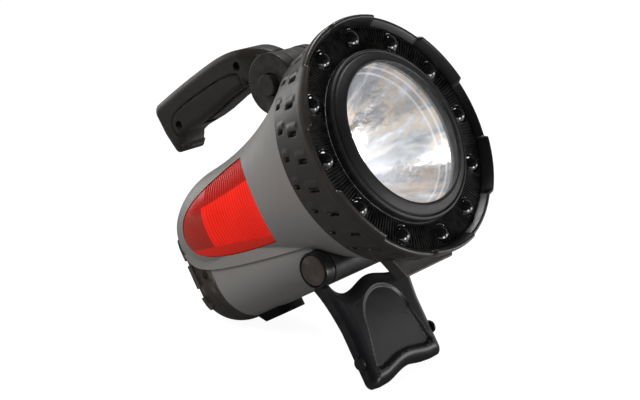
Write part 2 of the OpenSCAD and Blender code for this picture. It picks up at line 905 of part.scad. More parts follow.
// Side outline of the arm and grip.
module handle_side() {
  end_y = handle_round - handle_len;
  end_z = grip_crest - grip_fall;
  tip = [0, cheek_r + 3.8];
  crest = [along_grip(0.3), grip_crest];
  polygon(concat([tip], bend(tip, [-20, grip_crest], crest), [crest],
    bend(crest, [along_grip(0.77), grip_crest], [end_y, end_z]),
    arc([end_y, end_z - handle_round], handle_round, 90, 180),
    [[1 - handle_len, 15]],
    arc([9.5 - handle_len, 2.3], 5.5, 195, 320),
    [[heel_y - 11.8, 2.1], [heel_y - 9.6, 4.6], [heel_y - 5.6, 7.1], [heel_y + 1, 8], [along_grip(0.74), 7.4],
    [along_grip(0.49), 8.6], [along_grip(0.23), 10.8], [nose_y, 11.4]],
    arc([nose_y + 3, 14.4], 3, 270, 340),
    [[-25, 11], [-13, 5], [-3, 9]]));
}

// Slim part that runs between the hinge cheeks.
module neck_side() {
  polygon([[-4, 27], [3, 21], [0, 0], [-15, 5], [-28, 15], [-28, 33]]);
  circle(knuckle_r);
}

module grip_section() {
  inner = grip_half - grip_round;
  deep = 31;
  round_z = grip_crest - grip_round;
  translate([-inner, round_z]) circle(grip_round);
  translate([inner, round_z]) circle(grip_round);
  translate([-inner, -deep]) square([2 * inner, grip_crest + deep]);
  translate([-grip_half, -deep]) square([2 * grip_half, round_z + deep]);
}

module handle_solid() {
  difference() {
    intersection() {
      across(-grip_half, grip_half) handle_side();
      along(-handle_len - 5, 25) grip_section();
    }
    rod_x(cheek_r + 0.6, -30, 30);
  }
  across(-knuckle_half, knuckle_half) neck_side();
}

// Outline of the grip insert on each side, shrunk by a gap.
module grip_side(gap) {
  top = grip_rise - gap;
  polygon([[-33 - gap, top - 13], [along_grip(0.22), top - 10.3], [along_grip(0.5), top - 9.8],
    [along_grip(0.8), top - 10.1], [heel_y - 1, top - 11.5], [heel_y - 9 + gap, top - 15],
    [heel_y - 12 + gap, 16.5], [heel_y - 11.4 + gap, 11], [heel_y - 8 + gap, 6.5 + gap], [heel_y - 2, 9 + gap],
    [along_grip(0.74), 8.4 + gap], [along_grip(0.49), 9.8 + gap], [along_grip(0.23), 12 + gap],
    [nose_y, 12.8 + gap], [nose_y + 3.5 - gap, 17]]);
}

module trigger_slot() {
  half = trigger_half + 0.3;
  room = grip_half - 3.2;
  top = grip_rise - 4;
  rear_y = trigger_pin.x - 12;
  block([-half, trigger_pin.x - 4, -1], [half, nose_y + 1, 21]);
  across(-room, room) polygon([[rear_y, 18], [rear_y, top - 2.5], [rear_y + 6, top], [nose_y - 6, top],
    [nose_y, top - 2.5], [nose_y, 20]]);
}

module at_trigger_pin() {
  translate([0, trigger_pin.x, trigger_pin.y]) children();
}

module at_handle_screws() {
  for (s = [screw_front, screw_rear]) translate([0, s.x, s.y]) children();
}

module handle_half() {
  difference() {
    intersection() {
      handle_solid();
      block([0, -handle_len - 5, -40], [40, 40, 60]);
    }
    trigger_slot();
    across(grip_half - 1.3, 30) grip_side(0);
    rod_x(axle_r + run_fit, -1, 30);
    at_trigger_pin() rod_x(1.5 + fit / 2, -1, 10.5);
    at_handle_screws() rod_x(1.5 + run_fit, -1, 9);
  }
}

module handle_right() {
  color(dark) at_handle_hinge() difference() {
    handle_half();
    at_handle_screws() rod_x(screw_head_r + fit, 9, 30);
  }
}

module handle_left() {
  color(dark) at_handle_hinge() mirror([1, 0, 0]) handle_half();
}

module grip_insert() {
  across(grip_half - 1.3, grip_half + 0.2) grip_side(0.15);
}

module grip_right() {
  color(dark) at_handle_hinge() difference() {
    grip_insert();
    translate([0, screw_rear.x, screw_rear.y]) rod_x(screw_head_r + fit, 0, 30);
  }
}

module grip_left() {
  color(dark) at_handle_hinge() mirror([1, 0, 0]) grip_insert();
}

module handle_screws() {
  color(metal) at_handle_hinge() at_handle_screws() {
    rod_x(1.5, -8, 9);
    rod_x(screw_head_r, 9, 11);
  }
}

module trigger() {
  color(dark) at_handle_hinge() difference() {
    across(-trigger_half, trigger_half) polygon([[trigger_pin.x - 2.5, 11], [trigger_pin.x - 1, 16],
      [along_grip(0.49), 16.6], [nose_y - 4, 17.4], [nose_y - 1, 15.4], [nose_y - 0.6, 11], [nose_y - 3, 9.6],
      [along_grip(0.23), 9], [along_grip(0.49), 6.9], [trigger_pin.x + 8, 6.4], [trigger_pin.x, 8]]);
    at_trigger_pin() rod_x(1.5 + run_fit, -20, 20);
  }
}

module trigger_pin_rod() {
  color(metal) at_handle_hinge() at_trigger_pin() rod_x(1.5, -10.5, 10.5);
}

module trigger_spring() {
  length = 10;
  color(metal) at_handle_hinge() translate([0, along_grip(0.43), grip_rise - 4 - length])
    coil(3.2, 0.5, length, 6);
}

module trigger_switch() {
  color(black) at_handle_hinge() block([-6, nose_y - 20, grip_rise - 13.5], [6, nose_y - 6, grip_rise - 4]);
}

// Stand

// Half of the stand's front outline, drawn from its hinge.
module stand_outline_half() {
  dip_x = 26;
  foot_x = stand_half - 12;
  corner = 6;
  hump = [for (i = [0:arc_steps]) let (x = dip_x * i / arc_steps)
    [x, hump_rise * cos(180 * x / dip_x) - hump_mid]];
  crook = arc([dip_x, arm_in - dip_x - hump_mid - hump_rise], arm_in - dip_x, 270, 360);
  hollow = [for (i = [0:arc_steps]) let (x = foot_x * (1 - i / arc_steps))
    [x, 2 * (1 + cos(180 * x / foot_x)) - stand_len]];
  polygon(concat(hump, crook, [[arm_in, 0], [arm_out, 0], [arm_out, -11.5], [stand_half + 4, -21.5],
    [stand_half + 1.4, -31], [stand_half, -45]], arc([stand_half - corner, corner - stand_len], corner, 0, -90),
    hollow));
}

// Outline of the shallow recess in the stand's face: a round top and a lower edge like the foot's.
module recess_outline() {
  round_r = 23;
  round_z = 40.5 - stand_len;
  half = stand_half - 9;
  low_z = 11 - stand_len;
  corner = 3;
  foot_x = half - corner;
  hollow = [for (i = [1:2 * arc_steps - 1]) let (x = foot_x * (1 - i / arc_steps))
    [x, 2 * (1 + cos(180 * x / foot_x)) + low_z]];
  polygon(concat(arc([0, round_z], round_r, 180, 0, 2 * arc_steps),
    arc([foot_x, low_z + corner], corner, 0, -90), hollow, arc([-foot_x, low_z + corner], corner, 270, 180)));
}

module stand() {
  pocket_half = stand_half - 3.6;
  foot_wall = 9;
  color(dark) at_stand_hinge() difference() {
    union() {
      both_sides() along(-stand_deep, stand_face) stand_outline_half();
      both_sides() rod_x(eye_r, arm_in, arm_out);
    }
    along(-stand_deep - 1, stand_face - stand_t) translate([-pocket_half, foot_wall - stand_len])
      square([2 * pocket_half, stand_len]);
    along(stand_face - 1.6, stand_face + 1) recess_outline();
    rod_x(stand_axle_r + fit / 5, -60, 60);
    both_sides() rod_x(eye_r - 1.4, arm_out - 2, arm_out + 1);
  }
}

module stand_barrel() {
  color(black) at_stand_hinge() difference() {
    rod_x(barrel_r, -keel_half, keel_half);
    rod_x(stand_axle_r + run_fit, -60, 60);
  }
}

module stand_axle() {
  color(metal) at_stand_hinge() rod_x(stand_axle_r, 2 - arm_out, arm_out - 2);
}

module stand_caps() {
  color(dark) at_stand_hinge() both_sides() rod_x(eye_r - 1.6, arm_out - 2, arm_out + 0.5);
}

module stand_bumps() {
  color(black) at_stand_hinge() both_sides() translate([0, -2.6, 20 - stand_len])
    rod_x(4.8, stand_half, stand_half + 2.4);
}

place() {
  bezel();
  front_ring();
  studs();
  lens_retainer();
  lens();
  lens_gasket();
  reflector();
  bulb();
  bulb_filament();
  bulb_base();
  bulb_cap();
  upper_shell();
  lower_shell();
  rear_cover();
  cover_screws();
  foot_pad();
  side_lens_right();
  side_lens_left();
  light_tray_right();
  light_tray_left();
  light_board_right();
  light_board_left();
  battery();
  battery_tabs();
  battery_pad();
  circuit_board();
  lead_right();
  lead_left();
  rear_button();
  rear_switch();
  charge_light();
  charge_socket();
  socket_plug();
  plug_pin();
  saddle();
  handle_axle();
  lock_button();
  lock_spring();
  handle_right();
  handle_left();
  grip_right();
  grip_left();
  handle_screws();
  trigger();
  trigger_pin_rod();
  trigger_spring();
  trigger_switch();
  stand_barrel();
  stand_axle();
  stand();
  stand_caps();
  stand_bumps();
}
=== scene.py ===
"""Looks of the rechargeable spotlight, in metres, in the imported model's own frame."""
import logging
import math
from dataclasses import dataclass, field
from enum import Enum
from typing import Callable, Mapping, Sequence

import bmesh
import bpy
import numpy as np
from bpy.types import Material, Mesh, Node, NodeSocket, NodeTree, Object
from mathutils import Matrix, Vector


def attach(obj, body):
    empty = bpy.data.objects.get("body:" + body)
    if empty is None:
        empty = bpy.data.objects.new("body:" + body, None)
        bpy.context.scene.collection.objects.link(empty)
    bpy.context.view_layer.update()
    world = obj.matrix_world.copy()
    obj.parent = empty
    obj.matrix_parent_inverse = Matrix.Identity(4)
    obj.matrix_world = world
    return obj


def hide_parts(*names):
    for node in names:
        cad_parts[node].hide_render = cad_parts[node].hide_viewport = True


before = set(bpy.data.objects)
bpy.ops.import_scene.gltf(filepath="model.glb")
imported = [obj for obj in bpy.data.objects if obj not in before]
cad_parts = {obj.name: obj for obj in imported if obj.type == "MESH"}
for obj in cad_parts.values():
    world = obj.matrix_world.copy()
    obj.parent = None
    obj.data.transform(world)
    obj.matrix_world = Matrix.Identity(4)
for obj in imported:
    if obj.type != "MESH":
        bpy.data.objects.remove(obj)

LOG = logging.getLogger("spotlight")
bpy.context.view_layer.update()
MM = 0.001
Point = tuple[float, float, float]
Pair = tuple[float, float]
Colour = tuple[float, float, float, float]
Face = Sequence[int]
Profile = Sequence[Pair]
Grid = tuple[np.ndarray, list[Face], list[Face]]
Inputs = Mapping[str | int, object]


class Body(str, Enum):
    """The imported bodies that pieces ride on."""

    LAMP = "lamp"
    HANDLE = "handle"
    TRIGGER = "trigger"
    LOCK = "lock"
    STAND = "stand"
    BUTTON = "rear_button"
    PLUG = "plug"


class Side(float, Enum):
    """The lamp's sides, as the sign of their X."""

    RIGHT = 1.0
    LEFT = -1.0


class Corner(str, Enum):
    """How a rounded edge goes about an outer corner."""

    ARC = "MITER_ARC"
    SHARP = "MITER_SHARP"


# Frame


@dataclass(frozen=True)
class LampFrame:
    """The lamp's own frame in millimetres: X its right, Y along the beam with the rim at zero, Z up."""

    rim_r: float = 85.0
    rim_round: float = 1.5
    stand_back: float = 86.0
    stand_drop: float = 58.5
    stand_len: float = 90.5
    stand_deep: float = 7.5
    dome_back: float = 202.5
    keel_half: float = 37.5
    keel_corner: float = 33.0
    keel_drop: float = 71.5
    handle_end: float = 210.0
    handle_round: float = 7.0
    grip_end: float = 108.9

    def tilt(self) -> float:
        """Angle that the lamp leans back, so that its stand and its tail meet one floor.

        Returns:
            The angle in radians.
        """
        lean_y = self.stand_back + self.stand_deep - self.dome_back - self.keel_half + self.keel_corner
        lean_z = self.keel_corner - self.keel_drop + self.stand_drop + self.stand_len
        return math.atan2(lean_y, lean_z) + math.acos(self.keel_corner / math.hypot(lean_y, lean_z))

    def matrix(self) -> Matrix:
        """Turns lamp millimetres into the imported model's metres.

        Returns:
            The matrix of scale, lean and place.
        """
        tilt = self.tilt()
        rear = self.stand_back + self.stand_deep
        height = (self.stand_drop + self.stand_len) * math.cos(tilt) + rear * math.sin(tilt)
        front_reach = (self.rim_r - self.rim_round) * math.sin(tilt)
        rear_reach = ((self.handle_end - self.handle_round) * math.cos(tilt)
                      + (self.grip_end - self.handle_round) * math.sin(tilt) + self.handle_round)
        place = Matrix.Translation((0, (front_reach - rear_reach) / 2 * MM, height * MM))
        turn = Matrix.Rotation(math.pi, 4, "Z") @ Matrix.Rotation(tilt, 4, "X")
        return place @ turn @ Matrix.Scale(MM, 4)


LAMP = LampFrame()
TO_WORLD = LAMP.matrix()
BEAM = Matrix(((0, 1, 0, 0), (0, 0, 1, 0), (1, 0, 0, 0), (0, 0, 0, 1)))


# Mesh helpers


def ramp(value: np.ndarray, low: float, high: float) -> np.ndarray:
    """Smooth step from 0 at low to 1 at high."""
    share = np.clip((value - low) / (high - low), 0.0, 1.0)
    return share * share * (3 - 2 * share)


def place_mesh(mesh: Mesh, sharp: float) -> Object:
    """Puts a mesh in the scene as a smooth piece of its own name.

    Args:
        mesh: The mesh.
        sharp: Edges that turn by more degrees than this stay sharp.

    Returns:
        The new object, at the origin.
    """
    piece = bpy.data.objects.new(mesh.name, mesh)
    bpy.context.collection.objects.link(piece)
    shape = bmesh.new()
    shape.from_mesh(mesh)
    bmesh.ops.recalc_face_normals(shape, faces=shape.faces)
    limit = math.radians(sharp)
    for face in shape.faces:
        face.smooth = True
    for edge in shape.edges:
        edge.smooth = len(edge.link_faces) == 2 and edge.calc_face_angle(math.pi) < limit
    shape.to_mesh(mesh)
    shape.free()
    return piece


def new_piece(name: str, points: Sequence[Point], faces: Sequence[Face], sharp: float = 30.0) -> Object:
    """Makes a smooth-shaded piece from lamp millimetres.

    Args:
        name: Name of the piece.
        points: Corners in lamp millimetres.
        faces: Corner numbers of each face.
        sharp: Edges that turn by more degrees than this stay sharp.

    Returns:
        The new object, at the origin.
    """
    mesh = bpy.data.meshes.new(name)
    mesh.from_pydata([tuple(p) for p in points], [], [tuple(f) for f in faces])
    mesh.transform(TO_WORLD)
    return place_mesh(mesh, sharp)


def grid_faces(rows: int, columns: int, wrap_rows: bool, wrap_columns: bool) -> list[Face]:
    """Corner numbers of a grid of quads.

    Args:
        rows: Number of rows of points.
        columns: Number of points in a row.
        wrap_rows: Whether the last row joins the first.
        wrap_columns: Whether the last column joins the first.

    Returns:
        One tuple of four corner numbers for each quad.
    """
    faces = []
    for i in range(rows if wrap_rows else rows - 1):
        k = (i + 1) % rows
        for j in range(columns if wrap_columns else columns - 1):
            m = (j + 1) % columns
            faces.append((i * columns + j, i * columns + m, k * columns + m, k * columns + j))
    return faces


def lathe(name: str, profile: Profile, columns: int = 192, sharp: float = 30.0,
          bend: Callable[[np.ndarray, np.ndarray, np.ndarray], tuple[np.ndarray, np.ndarray]] | None = None,
          ) -> Object:
    """Turns a closed profile about the beam.

    Args:
        name: Name of the piece.
        profile: Radius and distance along the beam of each point, in millimetres.
        columns: Number of steps round the beam.
        sharp: Edges that turn by more degrees than this stay sharp.
        bend: Moves the points, given radius, distance and angle, and returns radius and distance.

    Returns:
        The new object.
    """
    outline = np.array(profile, dtype=float)
    angle = np.linspace(0, 2 * math.pi, columns, endpoint=False)[None, :]
    radius = np.repeat(outline[:, :1], columns, axis=1)
    along = np.repeat(outline[:, 1:], columns, axis=1)
    if bend:
        radius, along = bend(radius, along, np.repeat(angle, len(outline), axis=0))
    points = np.stack([radius * np.sin(angle), along, radius * np.cos(angle)], axis=-1).reshape(-1, 3)
    return new_piece(name, points, grid_faces(len(outline), columns, True, True), sharp)


def densify(profile: Profile, step: float) -> list[Pair]:
    """Adds points to a line so that none are further apart than step.

    Args:
        profile: Corners of the line.
        step: Widest spacing of the points.

    Returns:
        The points, with both ends of the line.
    """
    dense: list[Pair] = []
    for (a, b), (c, d) in zip(profile, profile[1:]):
        count = max(1, math.ceil(math.hypot(c - a, d - b) / step))
        dense += [(a + (c - a) * i / count, b + (d - b) * i / count) for i in range(count)]
    return dense + [tuple(profile[-1])]


def bezier(start: Pair, pull: Pair, end: Pair, steps: int = 24) -> list[Pair]:
    """Points strictly between two ends of a curve that heads for a third point.

    Args:
        start: First end.
        pull: Point that the curve heads for.
        end: Last end.
        steps: Number of steps along the curve.

    Returns:
        The points between the ends.
    """
    curve = []
    for share in np.linspace(0, 1, steps + 1)[1:-1]:
        parts = ((1 - share) ** 2, 2 * share * (1 - share), share ** 2)
        curve.append(tuple(sum(w * q[i] for w, q in zip(parts, (start, pull, end))) for i in (0, 1)))
    return curve


def arc(centre: Pair, radius: float, start: float, end: float, steps: int = 24) -> list[Pair]:
    """Points of a circular arc between two angles in degrees."""
    return [(centre[0] + radius * math.cos(a), centre[1] + radius * math.sin(a))
            for a in np.radians(np.linspace(start, end, steps + 1))]


def line_distance(points: np.ndarray, line: Profile) -> np.ndarray:
    """Distance of flat points from a line.

    Args:
        points: Flat points, one in each row.
        line: Corners of the line.

    Returns:
        The distance of each point.
    """
    corners = np.array(line, dtype=float)
    nearest = np.full(len(points), np.inf)
    for start, end in zip(corners[:-1], corners[1:]):
        run = end - start
        share = np.clip((points - start) @ run / max(run @ run, 1e-12), 0.0, 1.0)
        nearest = np.minimum(nearest, np.linalg.norm(points - start - share[:, None] * run, axis=1))
    return nearest


def depth_inside(points: np.ndarray, outline: Profile) -> np.ndarray:
    """Distance of flat points from a closed outline, below zero outside it.

    Args:
        points: Flat points, one in each row.
        outline: Corners of the outline.

    Returns:
        The distance of each point.
    """
    corners = np.array(outline, dtype=float)
    within = np.zeros(len(points), dtype=bool)
    for (a, b), (c, d) in zip(corners, np.roll(corners, -1, axis=0)):
        if b != d:
            crosses = (points[:, 1] < b) != (points[:, 1] < d)
            within ^= crosses & (points[:, 0] < a + (points[:, 1] - b) * (c - a) / (d - b))
    return np.where(within, 1.0, -1.0) * line_distance(points, [*outline, outline[0]])


def soft_drop(distance: np.ndarray, width: float, depth: float) -> np.ndarray:
    """How far a face falls back near an edge, from nothing at width to depth at the edge."""
    return depth * np.clip(1 - distance / width, 0.0, 1.0) ** 2


def rounded(outline: Profile, times: int = 3) -> list[Pair]:
    """Cuts an outline's corners again and again, so that they become round.

    Args:
        outline: Corners of the closed outline.
        times: How often they are cut.

    Returns:
        The corners of the rounded outline.
    """
    corners = np.array(outline, dtype=float)
    for _ in range(times):
        ahead = np.roll(corners, -1, axis=0)
        cuts = [0.75 * corners + 0.25 * ahead, 0.25 * corners + 0.75 * ahead]
        corners = np.stack(cuts, axis=1).reshape(-1, 2)
    return [tuple(c) for c in corners]


def turned(name: str, hinge: Pair, profile: Profile, side: Side, columns: int = 96) -> Object:
    """Turns a closed profile about a hinge that runs across the lamp.

    Args:
        name: Name of the piece.
        hinge: Place of the hinge along the beam and up.
        profile: Radius and distance from the lamp's middle of each point.
        side: Side of the lamp.
        columns: Number of steps round the hinge.

    Returns:
        The new object.
    """
    angles = np.linspace(0, 2 * math.pi, columns, endpoint=False)
    points = [(side * x, hinge[0] + r * math.cos(a), hinge[1] + r * math.sin(a))
              for r, x in profile for a in angles]
    return new_piece(name, points, grid_faces(len(profile), columns, True, True), sharp=40.0)


def cut_grid(outline: Profile, pitches: Pair) -> Grid:
    """Lays a fine grid inside an outline.

    Args:
        outline: Closed outline of flat points.
        pitches: Spacing of the grid's lines along each axis.

    Returns:
        The grid's flat points, its faces and the edges along its rim, as corner numbers.
    """
    shape = bmesh.new()
    shape.faces.new([shape.verts.new((a, b, 0.0)) for a, b in outline])
    corners = np.array(outline, dtype=float)
    for axis, pitch in enumerate(pitches):
        for place in np.arange(corners[:, axis].min() + pitch / 2, corners[:, axis].max(), pitch):
            point, normal = [0.0, 0.0, 0.0], [0.0, 0.0, 0.0]
            point[axis], normal[axis] = float(place), 1.0
            parts = [*shape.verts, *shape.edges, *shape.faces]
            bmesh.ops.bisect_plane(shape, geom=parts, dist=1e-5, plane_co=point, plane_no=normal)
    shape.verts.index_update()
    points = np.array([v.co[:2] for v in shape.verts])
    faces = [[v.index for v in f.verts] for f in shape.faces]
    rim = [[v.index for v in e.verts] for e in shape.edges if e.is_boundary]
    shape.free()
    return points, faces, rim


def slab(name: str, front: np.ndarray, back: np.ndarray, faces: Sequence[Face], rim: Sequence[Face],
         sharp: float) -> Object:
    """Closes a front and a back sheet of one grid into a solid.

    Args:
        name: Name of the piece.
        front: Places of the grid's points on the front, in lamp millimetres.
        back: Places of the same points on the back.
        faces: The grid's faces.
        rim: The edges along the grid's rim.
        sharp: Edges that turn by more degrees than this stay sharp.

    Returns:
        The new object.
    """
    count = len(front)
    rear = [[i + count for i in reversed(f)] for f in faces]
    walls = [(a, b, b + count, a + count) for a, b in rim]
    return new_piece(name, np.vstack([front, back]), [*faces, *rear, *walls], sharp)


def plain_mesh(piece: Object) -> None:
    """Applies a piece's modifiers, so that it is a plain mesh.

    Args:
        piece: A mesh object.
    """
    graph = bpy.context.evaluated_depsgraph_get()
    graph.update()
    mesh = bpy.data.meshes.new_from_object(piece.evaluated_get(graph))
    old = piece.data
    piece.modifiers.clear()
    piece.data = mesh
    bpy.data.meshes.remove(old)


def soften(piece: Object, width: float, segments: int, sharp: float, corner: Corner = Corner.ARC) -> None:
    """Rounds the sharp edges of a piece.

    Args:
        piece: A mesh object.
        width: Width of the rounding in millimetres.
        segments: Number of faces across a rounded edge.
        sharp: Edges that turn by more degrees than this are rounded.
        corner: How the rounding goes about an outer corner.
    """
    bevel = piece.modifiers.new("soft_edges", "BEVEL")
    bevel.width = width * MM
    bevel.segments = segments
    bevel.limit_method = "ANGLE"
    bevel.angle_limit = math.radians(sharp)
    bevel.harden_normals = True
    bevel.miter_outer = corner.value
    plain_mesh(piece)


def cad_copy(node: str, bevel: float, segments: int) -> Object:
    """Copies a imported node's shape with merged corners and softened edges.

    Args:
        node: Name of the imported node.
        bevel: Width of the softened edges in millimetres.
        segments: Number of faces across a softened edge.

    Returns:
        The new object.
    """
    merge, flat_turn, sharp_turn = 0.002 * MM, math.radians(0.2), 28.0
    shape = bmesh.new()
    shape.from_mesh(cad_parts[node].data)
    bmesh.ops.remove_doubles(shape, verts=shape.verts, dist=merge)
    bmesh.ops.dissolve_limit(shape, angle_limit=flat_turn, verts=shape.verts, edges=shape.edges)
    mesh = bpy.data.meshes.new(node + "_skin")
    shape.to_mesh(mesh)
    shape.free()
    piece = place_mesh(mesh, sharp_turn)
    soften(piece, bevel, segments, sharp_turn)
    return piece


def join(piece: Object, *others: Object) -> None:
    """Joins other pieces' meshes to a piece and drops them.

    Args:
        piece: The piece that is kept.
        others: The pieces that are joined to it.
    """
    shape = bmesh.new()
    for part in (piece, *others):
        shape.from_mesh(part.data)
    shape.to_mesh(piece.data)
    shape.free()
    for part in others:
        mesh = part.data
        bpy.data.objects.remove(part)
        bpy.data.meshes.remove(mesh)


def adopt(piece: Object, body: Body, slot: str, material: Material, *nodes: str) -> None:
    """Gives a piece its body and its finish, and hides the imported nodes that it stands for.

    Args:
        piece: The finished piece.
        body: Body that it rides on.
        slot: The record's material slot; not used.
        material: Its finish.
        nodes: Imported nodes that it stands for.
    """
    piece.data.materials.clear()
    piece.data.materials.append(material)
    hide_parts(*nodes)
    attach(piece, body.value)
    LOG.info("%s rides on %s, %d faces", piece.name, body.value, len(piece.data.polygons))


# Node helpers


WHITE = (1.0, 1.0, 1.0, 1.0)
COLOUR, FLOAT = "NodeSocketColor", "NodeSocketFloat"


def linear(code: str) -> Colour:
    """Turns a colour code as seen on screen into the renderer's linear colour."""
    parts = [int(code[i:i + 2], 16) / 255 for i in (1, 3, 5)]
    return (*[c / 12.92 if c <= 0.04045 else ((c + 0.055) / 1.055) ** 2.4 for c in parts], 1.0)


def fill(node: Node, inputs: Inputs) -> None:
    """Feeds a node's inputs, found by name or number, with sockets or plain values.

    Args:
        node: The node.
        inputs: Sockets or plain values, by the input's name or number.
    """
    for name, value in inputs.items():
        if isinstance(value, NodeSocket):
            node.id_data.links.new(value, node.inputs[name])
        else:
            node.inputs[name].default_value = value


def add_node(tree: NodeTree, kind: str, inputs: Inputs | None = None, **settings: object) -> Node:
    """Adds a node to a tree.

    Args:
        tree: The node tree.
        kind: Blender's name for the kind of node.
        inputs: Sockets or plain values for its inputs.
        settings: Values of the node's own settings, set before its inputs are fed.

    Returns:
        The new node.
    """
    node = tree.nodes.new(kind)
    for name, value in settings.items():
        setattr(node, name, value)
    fill(node, inputs or {})
    return node


def math_node(tree: NodeTree, operation: str, *values: float | NodeSocket) -> NodeSocket:
    """Adds a math node fed by numbers or sockets and returns its result."""
    return add_node(tree, "ShaderNodeMath", dict(enumerate(values)), operation=operation).outputs[0]


def vector_node(tree: NodeTree, operation: str, inputs: Inputs) -> Node:
    """Adds a vector math node."""
    return add_node(tree, "ShaderNodeVectorMath", inputs, operation=operation)


def along_axis(tree: NodeTree, place: NodeSocket, axis: Vector) -> NodeSocket:
    """How far a vector runs along an axis."""
    return vector_node(tree, "DOT_PRODUCT", {0: place, 1: axis}).outputs["Value"]


def away_from(tree: NodeTree, place: Sequence[NodeSocket], centre: Pair = (0.0, 0.0)) -> NodeSocket:
    """Distance of a place on two axes from a centre.

    Args:
        tree: The node tree.
        place: The place on the two axes.
        centre: The centre on the same axes.

    Returns:
        The distance.
    """
    squares = [math_node(tree, "POWER", math_node(tree, "SUBTRACT", value, middle), 2.0)
               for value, middle in zip(place, centre)]
    return math_node(tree, "SQRT", math_node(tree, "ADD", *squares))


def span(tree: NodeTree, value: NodeSocket, low: float, high: float, start: float = 0.0,
         end: float = 1.0) -> NodeSocket:
    """Maps a value's range from low to high onto start to end, and clamps it.

    Args:
        tree: The node tree.
        value: The value.
        low: Where its range begins.
        high: Where its range ends.
        start: Result at low.
        end: Result at high.

    Returns:
        The mapped value.
    """
    node = add_node(tree, "ShaderNodeMapRange", {
        "Value": value, "From Min": low, "From Max": high, "To Min": start, "To Max": end})
    return node.outputs["Result"]


def mix(tree: NodeTree, share: float | NodeSocket, first: NodeSocket | Colour,
        second: NodeSocket | Colour) -> NodeSocket:
    """Mixes two colours, with the share of the second."""
    return add_node(tree, "ShaderNodeMix", {"Factor": share, "A": first, "B": second},
                    data_type="RGBA").outputs["Result"]


def lay(tree: NodeTree, base: NodeSocket, code: str, value: NodeSocket, ends: Pair) -> NodeSocket:
    """Lays a colour over another where a value passes from the first end to the second."""
    return mix(tree, span(tree, value, *ends), base, linear(code))


def noise(tree: NodeTree, scale: float | NodeSocket, detail: float, rough: float = 0.5, curl: float = 0.0,
          place: NodeSocket | None = None) -> NodeSocket:
    """Adds a noise texture.

    Args:
        tree: The node tree.
        scale: Its scale.
        detail: Its detail.
        rough: Its roughness.
        curl: Its distortion.
        place: Where it is read; by default in the piece's own coordinates.

    Returns:
        Its value.
    """
    place = place or add_node(tree, "ShaderNodeTexCoord").outputs["Object"]
    texture = add_node(tree, "ShaderNodeTexNoise", {
        "Vector": place, "Scale": scale, "Detail": detail, "Roughness": rough, "Distortion": curl})
    return texture.outputs["Fac"]


def lamp_place(tree: NodeTree) -> tuple[NodeSocket, NodeSocket, NodeSocket]:
    """Adds nodes for a point's place in lamp millimetres.

    Args:
        tree: The node tree.

    Returns:
        The place's X, Y and Z.
    """
    place = add_node(tree, "ShaderNodeTexCoord").outputs["Object"]
    lamp = add_node(tree, "ShaderNodeMapping", {
        "Vector": place, "Location": TO_WORLD.to_translation(), "Rotation": (LAMP.tilt(), 0.0, math.pi),
        "Scale": (MM, MM, MM)}, vector_type="TEXTURE")
    return tuple(add_node(tree, "ShaderNodeSeparateXYZ", {"Vector": lamp.outputs["Vector"]}).outputs)


def new_material(name: str) -> tuple[Material, NodeTree, Node]:
    """Starts a material with nodes.

    Args:
        name: Name of the material.

    Returns:
        The material, its node tree and its shader.
    """
    material = bpy.data.materials.new(name)
    material.use_nodes = True
    tree = material.node_tree
    return material, tree, tree.nodes["Principled BSDF"]


def new_group(name: str, inputs: Sequence[tuple[str, str, object]], output: tuple[str, str],
              ) -> tuple[NodeTree, Mapping[str, NodeSocket], Node]:
    """Starts a shader node group.

    Args:
        name: Name of the group.
        inputs: Name, socket kind and first value of each input.
        output: Name and socket kind of its output.

    Returns:
        The group, the sockets of its inputs and its output node.
    """
    tree = bpy.data.node_groups.new(name, "ShaderNodeTree")
    for label, kind, value in inputs:
        tree.interface.new_socket(label, in_out="INPUT", socket_type=kind).default_value = value
    tree.interface.new_socket(output[0], in_out="OUTPUT", socket_type=output[1])
    return tree, add_node(tree, "NodeGroupInput").outputs, add_node(tree, "NodeGroupOutput")


# Repeats


